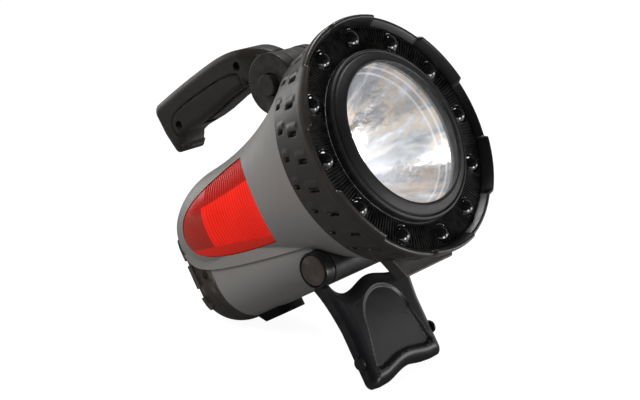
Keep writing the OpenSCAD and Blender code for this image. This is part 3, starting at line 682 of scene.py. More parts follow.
class RingOfCopies:
    """A Geometry Nodes tree that sets copies of a small mesh in a circle about the beam."""

    def __init__(self) -> None:
        """Builds the tree once."""
        tree = bpy.data.node_groups.new("ring_of_copies", "GeometryNodeTree")
        face = tree.interface
        face.new_socket("Geometry", in_out="INPUT", socket_type="NodeSocketGeometry")
        self.count = face.new_socket("Count", in_out="INPUT", socket_type="NodeSocketInt").identifier
        self.radius = face.new_socket("Radius", in_out="INPUT", socket_type=FLOAT).identifier
        self.finish = face.new_socket("Finish", in_out="INPUT", socket_type="NodeSocketMaterial").identifier
        face.new_socket("Geometry", in_out="OUTPUT", socket_type="NodeSocketGeometry")
        given = add_node(tree, "NodeGroupInput").outputs
        circle = add_node(tree, "GeometryNodeMeshCircle", {
            "Vertices": given["Count"], "Radius": given["Radius"]})
        step = math_node(tree, "DIVIDE", 2 * math.pi, given["Count"])
        turn = math_node(tree, "MULTIPLY", add_node(tree, "GeometryNodeInputIndex").outputs[0], step)
        spin = add_node(tree, "ShaderNodeCombineXYZ", {"Z": turn})
        place = add_node(tree, "GeometryNodeInstanceOnPoints", {
            "Points": circle.outputs["Mesh"], "Instance": given["Geometry"], "Rotation": spin.outputs[0]})
        whole = add_node(tree, "GeometryNodeRealizeInstances", {"Geometry": place.outputs["Instances"]})
        paint = add_node(tree, "GeometryNodeSetMaterial", {
            "Geometry": whole.outputs["Geometry"], "Material": given["Finish"]})
        add_node(tree, "NodeGroupOutput", {"Geometry": paint.outputs["Geometry"]})
        self.tree = tree

    def build(self, name: str, points: Sequence[Point], faces: Sequence[Face], count: int, radius: float,
              material: Material) -> Object:
        """Sets copies of one small mesh about the beam.

        Args:
            name: Name of the piece.
            points: Corners of one copy: outward from the beam, round it, and forward along it.
            faces: Corner numbers of each face.
            count: Number of copies; the first one is above the beam.
            radius: Radius of the circle in millimetres.
            material: Finish of the copies.

        Returns:
            The copies as one plain mesh object.
        """
        mesh = bpy.data.meshes.new(name)
        mesh.from_pydata([tuple(p) for p in points], [], [tuple(f) for f in faces])
        piece = place_mesh(mesh, sharp=40.0)
        copies = piece.modifiers.new("copies", "NODES")
        copies.node_group = self.tree
        copies[self.count] = count
        copies[self.radius] = radius
        copies[self.finish] = material
        plain_mesh(piece)
        piece.data.transform(TO_WORLD @ BEAM)
        return piece


# Finishes


@dataclass(frozen=True)
class Patches:
    """Noise of which the values between two levels become a share."""

    scale: float
    detail: float
    rough: float
    levels: Pair

    def share(self, tree: NodeTree, start: float = 0.0, end: float = 1.0) -> NodeSocket:
        """Adds the noise to a node tree and returns its share, from start to end."""
        return span(tree, noise(tree, self.scale, self.detail, self.rough), *self.levels, start, end)


# Clouds in the colour, rubbed edges, dust and smears in the polish
MOTTLE = Patches(38.0, 6.0, 0.62, (0.35, 0.7))
RUBBED = Patches(160.0, 4.0, 0.6, (0.42, 0.6))
DUST = Patches(520.0, 3.0, 0.7, (0.55, 0.75))
SMEARS = Patches(90.0, 5.0, 0.65, (0.3, 0.7))
DUST_TONE = "#a39c92"
# Pointiness of an edge, from where wear begins to where it is full
RIDGE = (0.51, 0.62)
GRAIN_DETAIL = 2.0


class Effects:
    """Shared surface effects as shader node groups."""

    def __init__(self) -> None:
        """Builds each group once."""
        self.skin = self.make_skin()
        self.polish = self.make_polish()
        self.grain = self.make_grain()

    def make_skin(self) -> NodeTree:
        """Colour with soft mottle, pale worn edges and specks of dust.

        Returns:
            The group.
        """
        tree, given, leave = new_group("skin", [
            ("Colour", COLOUR, WHITE), ("Tint", COLOUR, WHITE), ("Mottle", FLOAT, 0.3),
            ("Edge", COLOUR, WHITE), ("Wear", FLOAT, 0.2), ("Dust", FLOAT, 0.05)], ("Colour", COLOUR))
        mottled = math_node(tree, "MULTIPLY", MOTTLE.share(tree), given["Mottle"])
        tinted = mix(tree, mottled, given["Colour"], given["Tint"])
        ridge = span(tree, add_node(tree, "ShaderNodeNewGeometry").outputs["Pointiness"], *RIDGE)
        rubbed = math_node(tree, "MULTIPLY", ridge, RUBBED.share(tree))
        worn = mix(tree, math_node(tree, "MULTIPLY", rubbed, given["Wear"]), tinted, given["Edge"])
        specks = math_node(tree, "MULTIPLY", DUST.share(tree), given["Dust"])
        fill(leave, {"Colour": mix(tree, specks, worn, linear(DUST_TONE))})
        return tree

    def make_polish(self) -> NodeTree:
        """Roughness with soft smears.

        Returns:
            The group.
        """
        tree, given, leave = new_group("polish", [
            ("Rough", FLOAT, 0.4), ("Smear", FLOAT, 0.1)], ("Rough", FLOAT))
        swing = SMEARS.share(tree, -1.0, 1.0)
        fill(leave, {"Rough": math_node(tree, "MULTIPLY_ADD", swing, given["Smear"], given["Rough"])})
        return tree

    def make_grain(self) -> NodeTree:
        """Height of fine moulded grain.

        Returns:
            The group.
        """
        tree, given, leave = new_group("grain", [("Scale", FLOAT, 1500.0)], ("Height", FLOAT))
        fill(leave, {"Height": noise(tree, given["Scale"], GRAIN_DETAIL)})
        return tree

    def smeared(self, tree: NodeTree, rough: float, smear: float) -> NodeSocket:
        """Adds the polish to a material and returns its roughness."""
        return add_node(tree, "ShaderNodeGroup", {"Rough": rough, "Smear": smear},
                        node_tree=self.polish).outputs["Rough"]


@dataclass(frozen=True)
class Finish:
    """A finish, named as the record's slot; all colours are as seen on screen."""

    name: str

    def paint(self, tree: NodeTree, shader: Node, effects: Effects) -> None:
        """Sets up the finish's own nodes; each kind of finish has its own.

        Args:
            tree: The material's node tree.
            shader: The material's shader.
            effects: The shared node groups.
        """
        raise NotImplementedError

    def material(self, effects: Effects) -> Material:
        """Builds the material.

        Args:
            effects: The shared node groups.

        Returns:
            The finished material.
        """
        material, tree, shader = new_material(self.name)
        self.paint(tree, shader, effects)
        return material


@dataclass(frozen=True)
class Moulded(Finish):
    """A moulded plastic, rubber or metal finish."""

    colour: str
    tint: str
    rough: float
    mottle: float = 0.35
    edge: str = "#8a857c"
    wear: float = 0.25
    dust: float = 0.05
    smear: float = 0.06
    grain: float = 0.05
    grain_scale: float = 1500.0
    coat: float = 0.0
    metal: float = 0.0
    shine: float = 0.5

    def paint(self, tree: NodeTree, shader: Node, effects: Effects) -> None:
        """Sets up the nodes of the moulded finish.

        Args:
            tree: The material's node tree.
            shader: The material's shader.
            effects: The shared node groups.
        """
        skin = add_node(tree, "ShaderNodeGroup", {
            "Colour": linear(self.colour), "Tint": linear(self.tint), "Mottle": self.mottle,
            "Edge": linear(self.edge), "Wear": self.wear, "Dust": self.dust}, node_tree=effects.skin)
        grain = add_node(tree, "ShaderNodeGroup", {"Scale": self.grain_scale}, node_tree=effects.grain)
        bump = add_node(tree, "ShaderNodeBump", {
            "Strength": 1.0, "Distance": self.grain * MM, "Height": grain.outputs["Height"]})
        fill(shader, {
            "Base Color": skin.outputs["Colour"], "Normal": bump.outputs["Normal"],
            "Roughness": effects.smeared(tree, self.rough, self.smear), "Coat Weight": self.coat,
            "Specular IOR Level": self.shine, "Metallic": self.metal})


@dataclass(frozen=True)
class Clear(Finish):
    """Clear glass or plastic, which may glow a little as if lit from behind."""

    colour: str = "#f4f7f8"
    rough: float = 0.02
    ior: float = 1.45
    glow: float = 0.0

    def paint(self, tree: NodeTree, shader: Node, effects: Effects) -> None:
        """Sets up the nodes of clear glass or plastic, with faint smears in its polish.

        Args:
            tree: The material's node tree.
            shader: The material's shader.
            effects: The shared node groups.
        """
        fill(shader, {
            "Base Color": linear(self.colour), "Transmission Weight": 1.0, "IOR": self.ior,
            "Emission Color": WHITE, "Emission Strength": self.glow,
            "Roughness": effects.smeared(tree, self.rough, self.rough / 2)})


@dataclass(frozen=True)
class BezelRubber(Moulded):
    """The bumper ring's rubber, with painted shade: near black inside its lip, in its slots and at its rear
    edge, where it meets the shell.
    """

    # Painted shade: its colour, the lip's inner radius and front, the rear edge's band and the slot share
    dark: str = "#0a0909"
    shaded_lip_r: float = 83.2
    lip: float = -9.2
    rear: Pair = (-37.5, -37.8)
    slot: Pair = (0.2, 0.7)

    def paint(self, tree: NodeTree, shader: Node, effects: Effects) -> None:
        """Sets up the nodes of the rubber and its painted shade.

        Args:
            tree: The material's node tree.
            shader: The material's shader.
            effects: The shared node groups.
        """
        super().paint(tree, shader, effects)
        # Painted shade inside the lip, at the rear edge next to the shell and in the tread's slots
        x, y, z = lamp_place(tree)
        within = math_node(tree, "LESS_THAN", away_from(tree, (x, z)), self.shaded_lip_r)
        ahead = math_node(tree, "GREATER_THAN", y, self.lip)
        skin = shader.inputs["Base Color"].links[0].from_socket
        lip = lay(tree, skin, self.dark, math_node(tree, "MULTIPLY", within, ahead), (0.0, 1.0))
        rear = lay(tree, lip, self.dark, y, self.rear)
        slots = add_node(tree, "ShaderNodeAttribute", attribute_name="slot").outputs["Fac"]
        fill(shader, {"Base Color": lay(tree, rear, self.dark, slots, self.slot)})


@dataclass(frozen=True)
class Mirror(Finish):
    """The reflector's plated silver, with faint waves, clouds of painted reflection that run out from the
    bulb, and a painted glow with a painted glare and two painted bright lines.
    """

    name: str = "reflector_silver"
    # Painted reflections of the bulb and the housing: tones of the clouds, their noise and swirl, and the
    # rays that they run along
    clouds: tuple[tuple[float, str], ...] = (
        (0.34, "#8d8e92"), (0.44, "#b0b1b4"), (0.51, "#cdbcae"), (0.57, "#c4c5c9"), (0.68, "#e6e7ea"))
    reflection_noise: Point = (1.0, 6.0, 0.6)
    curl: float = 0.25
    ray_count: float = 3.6
    ray_length: float = 20.0
    # Painted glow: how much darker than the clouds it is, its painted glare, its two painted bright lines
    # and its strength
    shade: float = 0.54
    painted_glare: str = "#e4e4e8"
    painted_glare_at: Pair = (-20.0, -10.0)
    painted_glare_r: Pair = (24.0, 4.0)
    line: str = "#b2b4b8"
    lines: Pair = (-17.0, -21.5)
    line_half: Pair = (1.0, 0.2)
    glow: float = 1.0
    rough: float = 0.16
    smear: float = 0.08
    wave: float = 0.9
    wave_noise: Point = (60.0, 3.0, 0.55)

    def paint(self, tree: NodeTree, shader: Node, effects: Effects) -> None:
        """Sets up the nodes of the plated silver, with its painted reflections and its painted glow.

        Args:
            tree: The material's node tree.
            shader: The material's shader.
            effects: The shared node groups.
        """
        painted_reflections = self.painted_reflections(tree)
        wave = add_node(tree, "ShaderNodeBump", {
            "Distance": self.wave * MM, "Height": noise(tree, *self.wave_noise)})
        # Painted reflections in the colour, with a painted glow over them
        fill(shader, {
            "Base Color": painted_reflections, "Metallic": 1.0, "Normal": wave.outputs["Normal"],
            "Roughness": effects.smeared(tree, self.rough, self.smear),
            "Emission Color": self.lit(tree, mix(tree, self.shade, painted_reflections, linear("#000000"))),
            "Emission Strength": self.glow})

    def painted_reflections(self, tree: NodeTree) -> NodeSocket:
        """Colour of the clouds of painted reflection.

        Args:
            tree: The node tree.

        Returns:
            The colour.
        """
        drift = noise(tree, *self.reflection_noise, self.curl, self.rays(tree))
        tones = add_node(tree, "ShaderNodeValToRGB", {"Fac": drift})
        stops = tones.color_ramp.elements
        first, *middle, last = self.clouds
        for stop, (place, code) in zip(stops, (first, last)):
            stop.position, stop.color = place, linear(code)
        for place, code in middle:
            stops.new(place).color = linear(code)
        return tones.outputs["Color"]

    def lit(self, tree: NodeTree, clouds: NodeSocket) -> NodeSocket:
        """Painted glow: the clouds of painted reflection washed out by a painted glare on one side of the
        bulb, with two painted bright lines near the mouth.

        Args:
            tree: The node tree.
            clouds: Colour of the clouds of painted reflection.

        Returns:
            The colour of the painted glow.
        """
        x, y, z = lamp_place(tree)
        colour = lay(tree, clouds, self.painted_glare, away_from(tree, (x, z), self.painted_glare_at), self.painted_glare_r)
        for line in self.lines:
            near = math_node(tree, "ABSOLUTE", math_node(tree, "SUBTRACT", y, line))
            colour = lay(tree, colour, self.line, near, self.line_half)
        return colour

    def rays(self, tree: NodeTree) -> NodeSocket:
        """Places that vary slowly along the bowl's radius, so the clouds of painted reflection run out from
        the bulb.

        Args:
            tree: The node tree.

        Returns:
            The places at which the clouds' noise is read.
        """
        x, _, z = lamp_place(tree)
        flat = add_node(tree, "ShaderNodeCombineXYZ", {"X": x, "Z": z}).outputs["Vector"]
        unit = vector_node(tree, "NORMALIZE", {0: flat}).outputs["Vector"]
        wide = vector_node(tree, "SCALE", {0: unit, "Scale": self.ray_count}).outputs["Vector"]
        length = vector_node(tree, "LENGTH", {0: flat}).outputs["Value"]
        reach = math_node(tree, "DIVIDE", length, self.ray_length)
        ring = add_node(tree, "ShaderNodeCombineXYZ", {"Y": reach}).outputs["Vector"]
        return vector_node(tree, "ADD", {0: wide, 1: ring}).outputs["Vector"]


@dataclass(frozen=True)
class LensRibs:
    """Fine ribs across the side lenses, by distance along the beam."""

    pitch: float = 3.3
    height: float = 0.55
    start: float = -171.0
    end: float = -106.0
    fade: float = 2.0


RIBS = LensRibs()


@dataclass(frozen=True)
class RedLens(Finish):
    """The side lens's red with painted shade, darker between its ribs, at its rear end, its lower edge and
    its top, and a painted glow as if lit from behind.
    """

    name: str = "side_lens_red"
    reds: tuple[str, str] = ("#b81408", "#e2261a")
    red_noise: Pair = (26.0, 2.0)
    # Painted shade: between the ribs, at the rear end, along the lower edge and at the top
    groove_shade: str = "#a3140a"
    groove_shade_wave: Pair = (0.5, 0.05)
    rear: str = "#7c2018"
    rear_y: Pair = (-172.5, -174.5)
    low: str = "#a82016"
    low_slope: float = -0.188
    low_line: float = -44.7
    low_soft: Pair = (0.8, -0.8)
    top: str = "#8c130b"
    top_z: Pair = (17.6, 18.6)
    rough: float = 0.22
    smear: float = 0.05
    shine: float = 0.18
    # Strength of the painted glow, as if lit from behind
    glow: float = 0.42

    def paint(self, tree: NodeTree, shader: Node, effects: Effects) -> None:
        """Sets up the nodes of the red lens, with its painted shade and its painted glow.

        Args:
            tree: The material's node tree.
            shader: The material's shader.
            effects: The shared node groups.
        """
        colour = self.zones(tree)
        # Painted glow: the lens glows with its own colour, painted shade and all
        fill(shader, {
            "Base Color": colour, "Roughness": effects.smeared(tree, self.rough, self.smear),
            "Specular IOR Level": self.shine, "Emission Color": colour, "Emission Strength": self.glow})

    def zones(self, tree: NodeTree) -> NodeSocket:
        """Colour of the lens's zones of painted shade, placed in the lamp's own coordinates.

        Args:
            tree: The node tree.

        Returns:
            The colour.
        """
        _, y, z = lamp_place(tree)
        red = mix(tree, noise(tree, *self.red_noise), *map(linear, self.reds))
        turn = math.pi / RIBS.pitch
        wave = math_node(tree, "SINE", math_node(tree, "MULTIPLY_ADD", y, turn, -RIBS.start * turn))
        ribs = lay(tree, red, self.groove_shade, math_node(tree, "ABSOLUTE", wave), self.groove_shade_wave)
        rear = lay(tree, ribs, self.rear, y, self.rear_y)
        edge = math_node(tree, "MULTIPLY_ADD", y, self.low_slope, self.low_line)
        low = lay(tree, rear, self.low, math_node(tree, "SUBTRACT", z, edge), self.low_soft)
        return lay(tree, low, self.top, z, self.top_z)


# Head


@dataclass
class Bezel:
    """Rubber bumper ring with a notched rim, a tread on its flank and a flat foot."""

    rim_r: float = LAMP.rim_r
    rear_r: float = 79.2
    bore_r: float = 75.6
    ring_bore_r: float = 79.6
    length: float = 39.0
    lip: float = 9.0
    seat: float = 14.0
    notch_count: int = 6
    notch_depth: float = 3.5
    notch_angle: float = 30.0
    notch_soft: float = 0.9
    foot_half: float = 26.0
    foot_drop: float = 88.0
    foot_len: float = 10.0
    foot_flare: float = 9.0
    foot_sunk: float = 1.6
    foot_soft: float = 1.1
    tread_count: int = 27
    tread_r: float = 82.0
    tread_lean: float = 76.0
    tread_rows: tuple[Pair, Pair] = ((-19.0, 5.0), (-33.0, 2.8))
    tread_shift: float = 0.35
    tread_wander: float = 1.3
    slot_depth: float = 2.3
    slot_end: float = 1.6
    slot_half: Pair = (1.0, 1.9)
    lump_height: float = 0.55
    lump_ends: Pair = (-1.0, 2.4)
    lump_side: float = 4.2
    lump_half: Pair = (0.4, 3.6)
    columns: int = 960
    # Share of a slot at each point, in which the rubber's finish paints shade
    slots: np.ndarray = field(default_factory=lambda: np.zeros(0))

    def outline(self) -> list[Pair]:
        """Closed profile: up the flank, over the lip and down the bore.

        Returns:
            Radius and distance along the beam of each point.
        """
        rim, rear, bore, back = self.rim_r, self.rear_r, self.ring_bore_r, -self.length
        flank = densify([(rear, 0.7 + back), (rim - 0.8, -self.lip - 0.4)], 0.7)
        lip = [(rim - 0.25, 0.4 - self.lip), (rim, 1.2 - self.lip), (rim, -5.0), (rim, -2.2),
               (rim - 0.35, -1.0), (rim - 1.0, -0.3), (rim - 1.8, 0.0), (rim - 2.5, -0.25),
               (rim - 3.0, -0.9)]
        wall = densify([(bore + 0.3, -7.4), (bore, -8.2), (bore, -self.seat)], 2.0)
        return [(self.bore_r, back), (rear - 0.8, back), (rear - 0.2, 0.25 + back), *flank, *lip, *wall,
                (self.bore_r, -self.seat)]

    def notch(self, angle: np.ndarray) -> np.ndarray:
        """How far into a notch an angle lies, from 0 on a tooth to 1 in a notch.

        Args:
            angle: Angle of each point round the beam.

        Returns:
            The share for each point.
        """
        pitch, half = 360.0 / self.notch_count, self.notch_angle / 2
        off = np.abs((np.degrees(angle) % pitch) - pitch / 2)
        return 1 - ramp(off, half - self.notch_soft, half + self.notch_soft)

    def tread(self, along: np.ndarray, angle: np.ndarray) -> tuple[np.ndarray, np.ndarray]:
        """Height of the flank's tread, and share of a slot in it.

        Slanted slots lie in two staggered rows, each beside a soft lump.

        Args:
            along: Distance of each point along the beam.
            angle: Angle of each point round the beam.

        Returns:
            Height in millimetres, and 1 within a slot.
        """
        pitch = 2 * math.pi * self.tread_r / self.tread_count
        lean = math.radians(self.tread_lean)
        height, slots = np.zeros_like(along), np.zeros_like(along)
        for row, (centre, half_run) in enumerate(self.tread_rows):
            share = angle * self.tread_count / (2 * math.pi) + self.tread_shift * row
            wander = self.tread_wander * np.sin(np.floor(share) * 2.4 + row)
            across = ((share % 1.0) - 0.5) * pitch
            up = along - centre - wander
            run = np.abs(across * math.cos(lean) + up * math.sin(lean))
            side = up * math.cos(lean) - across * math.sin(lean)
            slot = 1 - ramp(run, half_run - self.slot_end, half_run)
            slot *= 1 - ramp(np.abs(side), *self.slot_half)
            near, far = self.lump_ends
            lump = 1 - ramp(run, half_run + near, half_run + far)
            lump *= 1 - ramp(np.abs(side - self.lump_side), *self.lump_half)
            height += self.lump_height * lump - self.slot_depth * slot
            slots += slot
        rear, front = -self.length, -self.lip
        fade = ramp(along, rear + 1.2, rear + 3.5) * (1 - ramp(along, front - 3.2, front - 1.2))
        return height * fade, slots * fade

    def bend(self, radius: np.ndarray, along: np.ndarray, angle: np.ndarray,
             ) -> tuple[np.ndarray, np.ndarray]:
        """Cuts the notches into the lip and the tread into the flank, and keeps the slots' share, in which
        the finish paints shade.

        Args:
            radius: Radius of each point.
            along: Distance of each point along the beam.
            angle: Angle of each point round the beam.

        Returns:
            The new radius and distance.
        """
        front = along > 0.1 - self.lip
        depth = self.notch_depth * self.notch(angle) * (along + self.lip) / self.lip
        outside = radius > self.ring_bore_r - 1
        flank = outside & (along < -self.lip) & (radius > self.rear_r - 0.1)
        height, slots = self.tread(along, angle)
        self.slots = np.where(flank, slots, 0.0).reshape(-1)
        return radius + np.where(flank, height, 0.0), np.where(front & outside, along - depth, along)

    def foot(self) -> Object:
        """The flat foot under the ring, its top let into the ring's wall.

        Returns:
            The new object.
        """
        inner_r = self.bore_r + self.foot_sunk
        reach = math.degrees(math.asin((self.foot_half + self.foot_flare) / inner_r))
        top = arc((0.0, 0.0), inner_r, reach - 90, -reach - 90, 14)
        outline = [(-self.foot_half, -self.foot_drop), (self.foot_half, -self.foot_drop), *top]
        points = [(x, y, z) for y in (-self.length, self.foot_len - self.length) for x, z in outline]
        count = len(outline)
        ends = [tuple(range(count)), tuple(range(2 * count - 1, count - 1, -1))]
        piece = new_piece("bezel_foot", points, [*grid_faces(2, count, False, True), *ends])
        soften(piece, self.foot_soft, segments=3, sharp=30.0, corner=Corner.SHARP)
        return piece

    def build(self, material: Material) -> None:
        """Makes the ring and its foot as one piece.

        Args:
            material: Finish of the ring and its foot.
        """
        ring = lathe("bezel_tread", self.outline(), self.columns, sharp=50.0, bend=self.bend)
        # The slot share, in which the rubber's finish paints shade
        ring.data.attributes.new("slot", "FLOAT", "POINT").data.foreach_set("value", self.slots)
        join(ring, self.foot())
        adopt(ring, Body.LAMP, "bezel_rubber", material, "bezel")


@dataclass
class FrontRing:
    """Black ring of fine radial ribs with twelve domed studs."""

    inner_r: float = 61.1
    outer_r: float = 79.5
    front: float = -9.5
    back: float = -14.0
    rib_count: int = 204
    rib_inner: float = 62.2
    rib_outer: float = 79.0
    rib_half: float = 0.52
    rib_height: float = 1.15
    stud_count: int = 12
    stud_circle: float = 71.5
    stud_r: float = 6.8
    stud_height: float = 4.5
    stud_sides: int = 40

    def rib_circle(self) -> float:
        """Radius of the middle of the ribs."""
        return (self.rib_inner + self.rib_outer) / 2

    def rib(self) -> tuple[list[Point], list[Face]]:
        """One rib as a bar with a rounded top, from its inner end to its outer end.

        Returns:
            Its corners and the corner numbers of its faces.
        """
        mid = self.rib_circle()
        left = [(-1.0, -0.4), (-0.9, 0.55), (-0.45, 0.95)]
        section = [*left, (0.0, 1.0), *[(-s, h) for s, h in reversed(left)]]
        points = []
        for end in (self.rib_inner - mid, self.rib_outer - mid):
            widen = (mid + end) / mid
            points += [(end, self.rib_half * s * widen, self.front + self.rib_height * h)
                       for s, h in section]
        count = len(section)
        ends = [tuple(range(count - 1, -1, -1)), tuple(range(count, 2 * count))]
        return points, [*grid_faces(2, count, False, False), *ends]

    def stud(self) -> tuple[list[Point], list[Face]]:
        """One domed stud with a thin collar at its foot.

        Returns:
            Its corners and the corner numbers of its faces.
        """
        r, sides = self.stud_r, self.stud_sides
        ball_r = (r ** 2 + self.stud_height ** 2) / (2 * self.stud_height)
        collar = [(r + 0.45, -0.5), (r + 0.45, 0.9), (r + 0.25, 1.1), (r - 0.05, 0.95)]
        top = math.asin((r - 0.15) / ball_r)
        dome = [(ball_r * math.sin(a), ball_r * math.cos(a) + self.stud_height - ball_r)
                for a in np.linspace(top, 0.02, 14)]
        profile = collar + dome
        angles = [2 * math.pi * j / sides for j in range(sides)]
        points = [(reach * math.cos(a), reach * math.sin(a), self.front + h)
                  for reach, h in profile for a in angles]
        crown = tuple(range((len(profile) - 1) * sides, len(profile) * sides))
        return points, [*grid_faces(len(profile), sides, False, True), crown]

    def build(self, copies: RingOfCopies, black: Material, gloss: Material) -> None:
        """Makes the ribbed ring and the studs.

        Args:
            copies: The tree that sets copies about the beam.
            black: Finish of the ring.
            gloss: Finish of the studs.
        """
        base = lathe("front_ring_ribs", [(self.inner_r, self.back), (self.outer_r, self.back),
                                         (self.outer_r, self.front), (self.inner_r, self.front)])
        join(base, copies.build("rib", *self.rib(), self.rib_count, self.rib_circle(), black))
        adopt(base, Body.LAMP, "ring_black", black, "front_ring")
        studs = copies.build("stud_domes", *self.stud(), self.stud_count, self.stud_circle, gloss)
        adopt(studs, Body.LAMP, "stud_gloss", gloss, "studs")


@dataclass
class Optics:
    """Lens retainer, lens and reflector."""

    retainer_r: float = 61.0
    view_r: float = 49.8
    lens_front: float = 9.0
    lens_gap: float = 0.02
    lens_t: float = 3.5
    bowl_r: float = 54.0
    bowl_back_r: float = 9.2
    bowl_wall: float = 1.6
    neck: float = 6.0
    focal: float = 14.0
    seat: float = 14.0
    flange: float = 16.0
    flange_r: float = 75.3

    def retainer(self) -> Object:
        """Ring that holds the lens, with a double crease near its outer edge.

        Returns:
            The new object.
        """
        r, v = self.retainer_r, self.view_r
        return lathe("retainer_ring", [
            (r - 2.4, -self.lens_front), (r, -self.lens_front), (r, -5.2), (r - 0.4, -4.2), (r - 1.2, -3.5),
            (r - 2.0, -3.3), (r - 2.5, -3.6), (r - 2.9, -4.1), (r - 3.3, -3.6), (r - 3.7, -2.9),
            (r - 4.6, -2.4), (r - 6.5, -1.6), (v + 2.4, -0.3), (v + 1.2, -0.2), (v + 0.5, -0.5), (v, -1.2),
            (v + 0.4, -2.0)], columns=240, sharp=40.0)

    def lens(self) -> Object:
        """Clear disc.

        Returns:
            The new object.
        """
        rings, centre = 12, 0.05
        front, back = -self.lens_front - self.lens_gap, -self.lens_front - self.lens_t
        radii = [centre, *((self.retainer_r - 0.3) * i / rings for i in range(1, rings + 1))]
        outline = [*((r, front) for r in radii), *((r, back) for r in reversed(radii))]
        return lathe("lens_disc", outline, columns=160, sharp=40.0)

    def bowl(self) -> Object:
        """Parabolic bowl with its flange.

        Returns:
            The new object.
        """
        vertex = -self.seat - self.bowl_r ** 2 / (4 * self.focal)
        radii = np.linspace(self.bowl_back_r, self.bowl_r, 48)
        inner = [(r, vertex + r * r / (4 * self.focal)) for r in radii]
        outer = [(r + self.bowl_wall, y - 1.0) for r, y in inner[::-1][4:]]
        rim = [(self.bowl_r + 0.6, -self.seat), (self.flange_r, -self.seat), (self.flange_r, -self.flange),
               (self.bowl_r + 1.0, -self.flange)]
        end = vertex - self.neck
        tail = [(self.bowl_back_r + self.bowl_wall, end), (self.bowl_back_r, end)]
        return lathe("reflector_bowl", [*inner, *rim, *outer, *tail], sharp=40.0)

    def build(self, retainer: Material, clear: Material, mirror: Material) -> None:
        """Makes the pieces in front of the bulb.

        Args:
            retainer: Finish of the retainer.
            clear: Finish of the lens.
            mirror: Finish of the reflector.
        """
        adopt(self.retainer(), Body.LAMP, "retainer_black", retainer, "lens_retainer")
        adopt(self.lens(), Body.LAMP, "lens_clear", clear, "lens")
        adopt(self.bowl(), Body.LAMP, "reflector_silver", mirror, "reflector")


# Body


@dataclass
class SideLens:
    """Red side lens: a ribbed skin that follows the bell inside the shell's window."""

    window_r: float = 19.5
    window_back: float = 184.8
    window_z: float = 4.4
    window_top: float = 36.2
    window_low: float = 29.1
    window_front: float = 117.0
    window_bow: float = 27.0
    top_turn: float = 122.0
    low_turn: float = 236.0
    gap: float = 0.55
    sunk: float = 0.5
    skin: float = 2.0
    bow_z: float = 6.0
    low_lean: float = 7.0
    low_rise: float = 4.0
    pitches: Pair = (0.55, 2.0)
    waist_back: float = 180.0
    waist_r: float = 44.3
    flare_arc: float = 305.4
    tail_arc: float = 84.06

    def bell(self, y: np.ndarray) -> np.ndarray:
        """Radius of the bell at a distance along the beam.

        Args:
            y: Distance of each point along the beam.

        Returns:
            The radius at each point.
        """
        off = y + self.waist_back
        flare = self.waist_r + self.flare_arc - np.sqrt(self.flare_arc ** 2 - off ** 2)
        tail = self.waist_r - self.tail_arc + np.sqrt(np.maximum(self.tail_arc ** 2 - off ** 2, 0))
        return np.where(off >= 0, flare, tail)

    def outline(self) -> list[Pair]:
        """Side outline of the lens, in distance along the beam and height.

        Returns:
            Its points.
        """
        front_y = -self.window_front - self.gap
        top_z, low_z = self.window_top - self.gap, self.gap - self.window_low
        centre = (-self.window_back, self.window_z)
        rear = arc(centre, self.window_r - self.gap, self.low_turn, self.top_turn)
        top_front, low_front = (front_y, top_z), (front_y + self.low_lean, low_z)
        low_end, top_end = rear[0], rear[-1]
        low_top = low_z + self.low_rise
        top_pull = (top_end[0] - (top_z - top_end[1]) * math.tan(math.radians(self.top_turn)), top_z)
        low_pull = (low_end[0] - (low_top - low_end[1]) * math.tan(math.radians(self.low_turn)), low_top)
        bow = bezier(top_front, (front_y + self.window_bow, self.bow_z), low_front)
        return [top_front, *bow, low_front, *bezier(low_front, low_pull, low_end), *rear,
                *bezier(top_end, top_pull, top_front)]

    def height(self, y: np.ndarray) -> np.ndarray:
        """Height of the ribs on the lens.

        Args:
            y: Distance of each point along the beam.

        Returns:
            The height at each point, zero at the most.
        """
        fade = ramp(y, RIBS.start, RIBS.start + RIBS.fade) * (1 - ramp(y, RIBS.end - RIBS.fade, RIBS.end))
        wave = np.abs(np.sin(math.pi * (y - RIBS.start) / RIBS.pitch))
        return RIBS.height * fade * (wave - 1.0)

    def build(self, name: str, side: Side, material: Material) -> None:
        """Makes one lens.

        Args:
            name: Node that it stands for.
            side: Side of the lamp.
            material: Its finish.
        """
        flat, faces, rim = cut_grid(self.outline(), self.pitches)
        y, z = flat[:, 0], flat[:, 1]
        bell = self.bell(y) - self.sunk
        radii = (bell + self.height(y), bell - self.skin)
        reaches = [np.sqrt(np.maximum(r ** 2 - z ** 2, 1.0)) for r in radii]
        outer, inner = (np.column_stack([side * reach, y, z]) for reach in reaches)
        piece = slab(name + "_ribbed", outer, inner, faces, rim, sharp=45.0)
        adopt(piece, Body.LAMP, "side_lens_red", material, name)


# Stand and handle


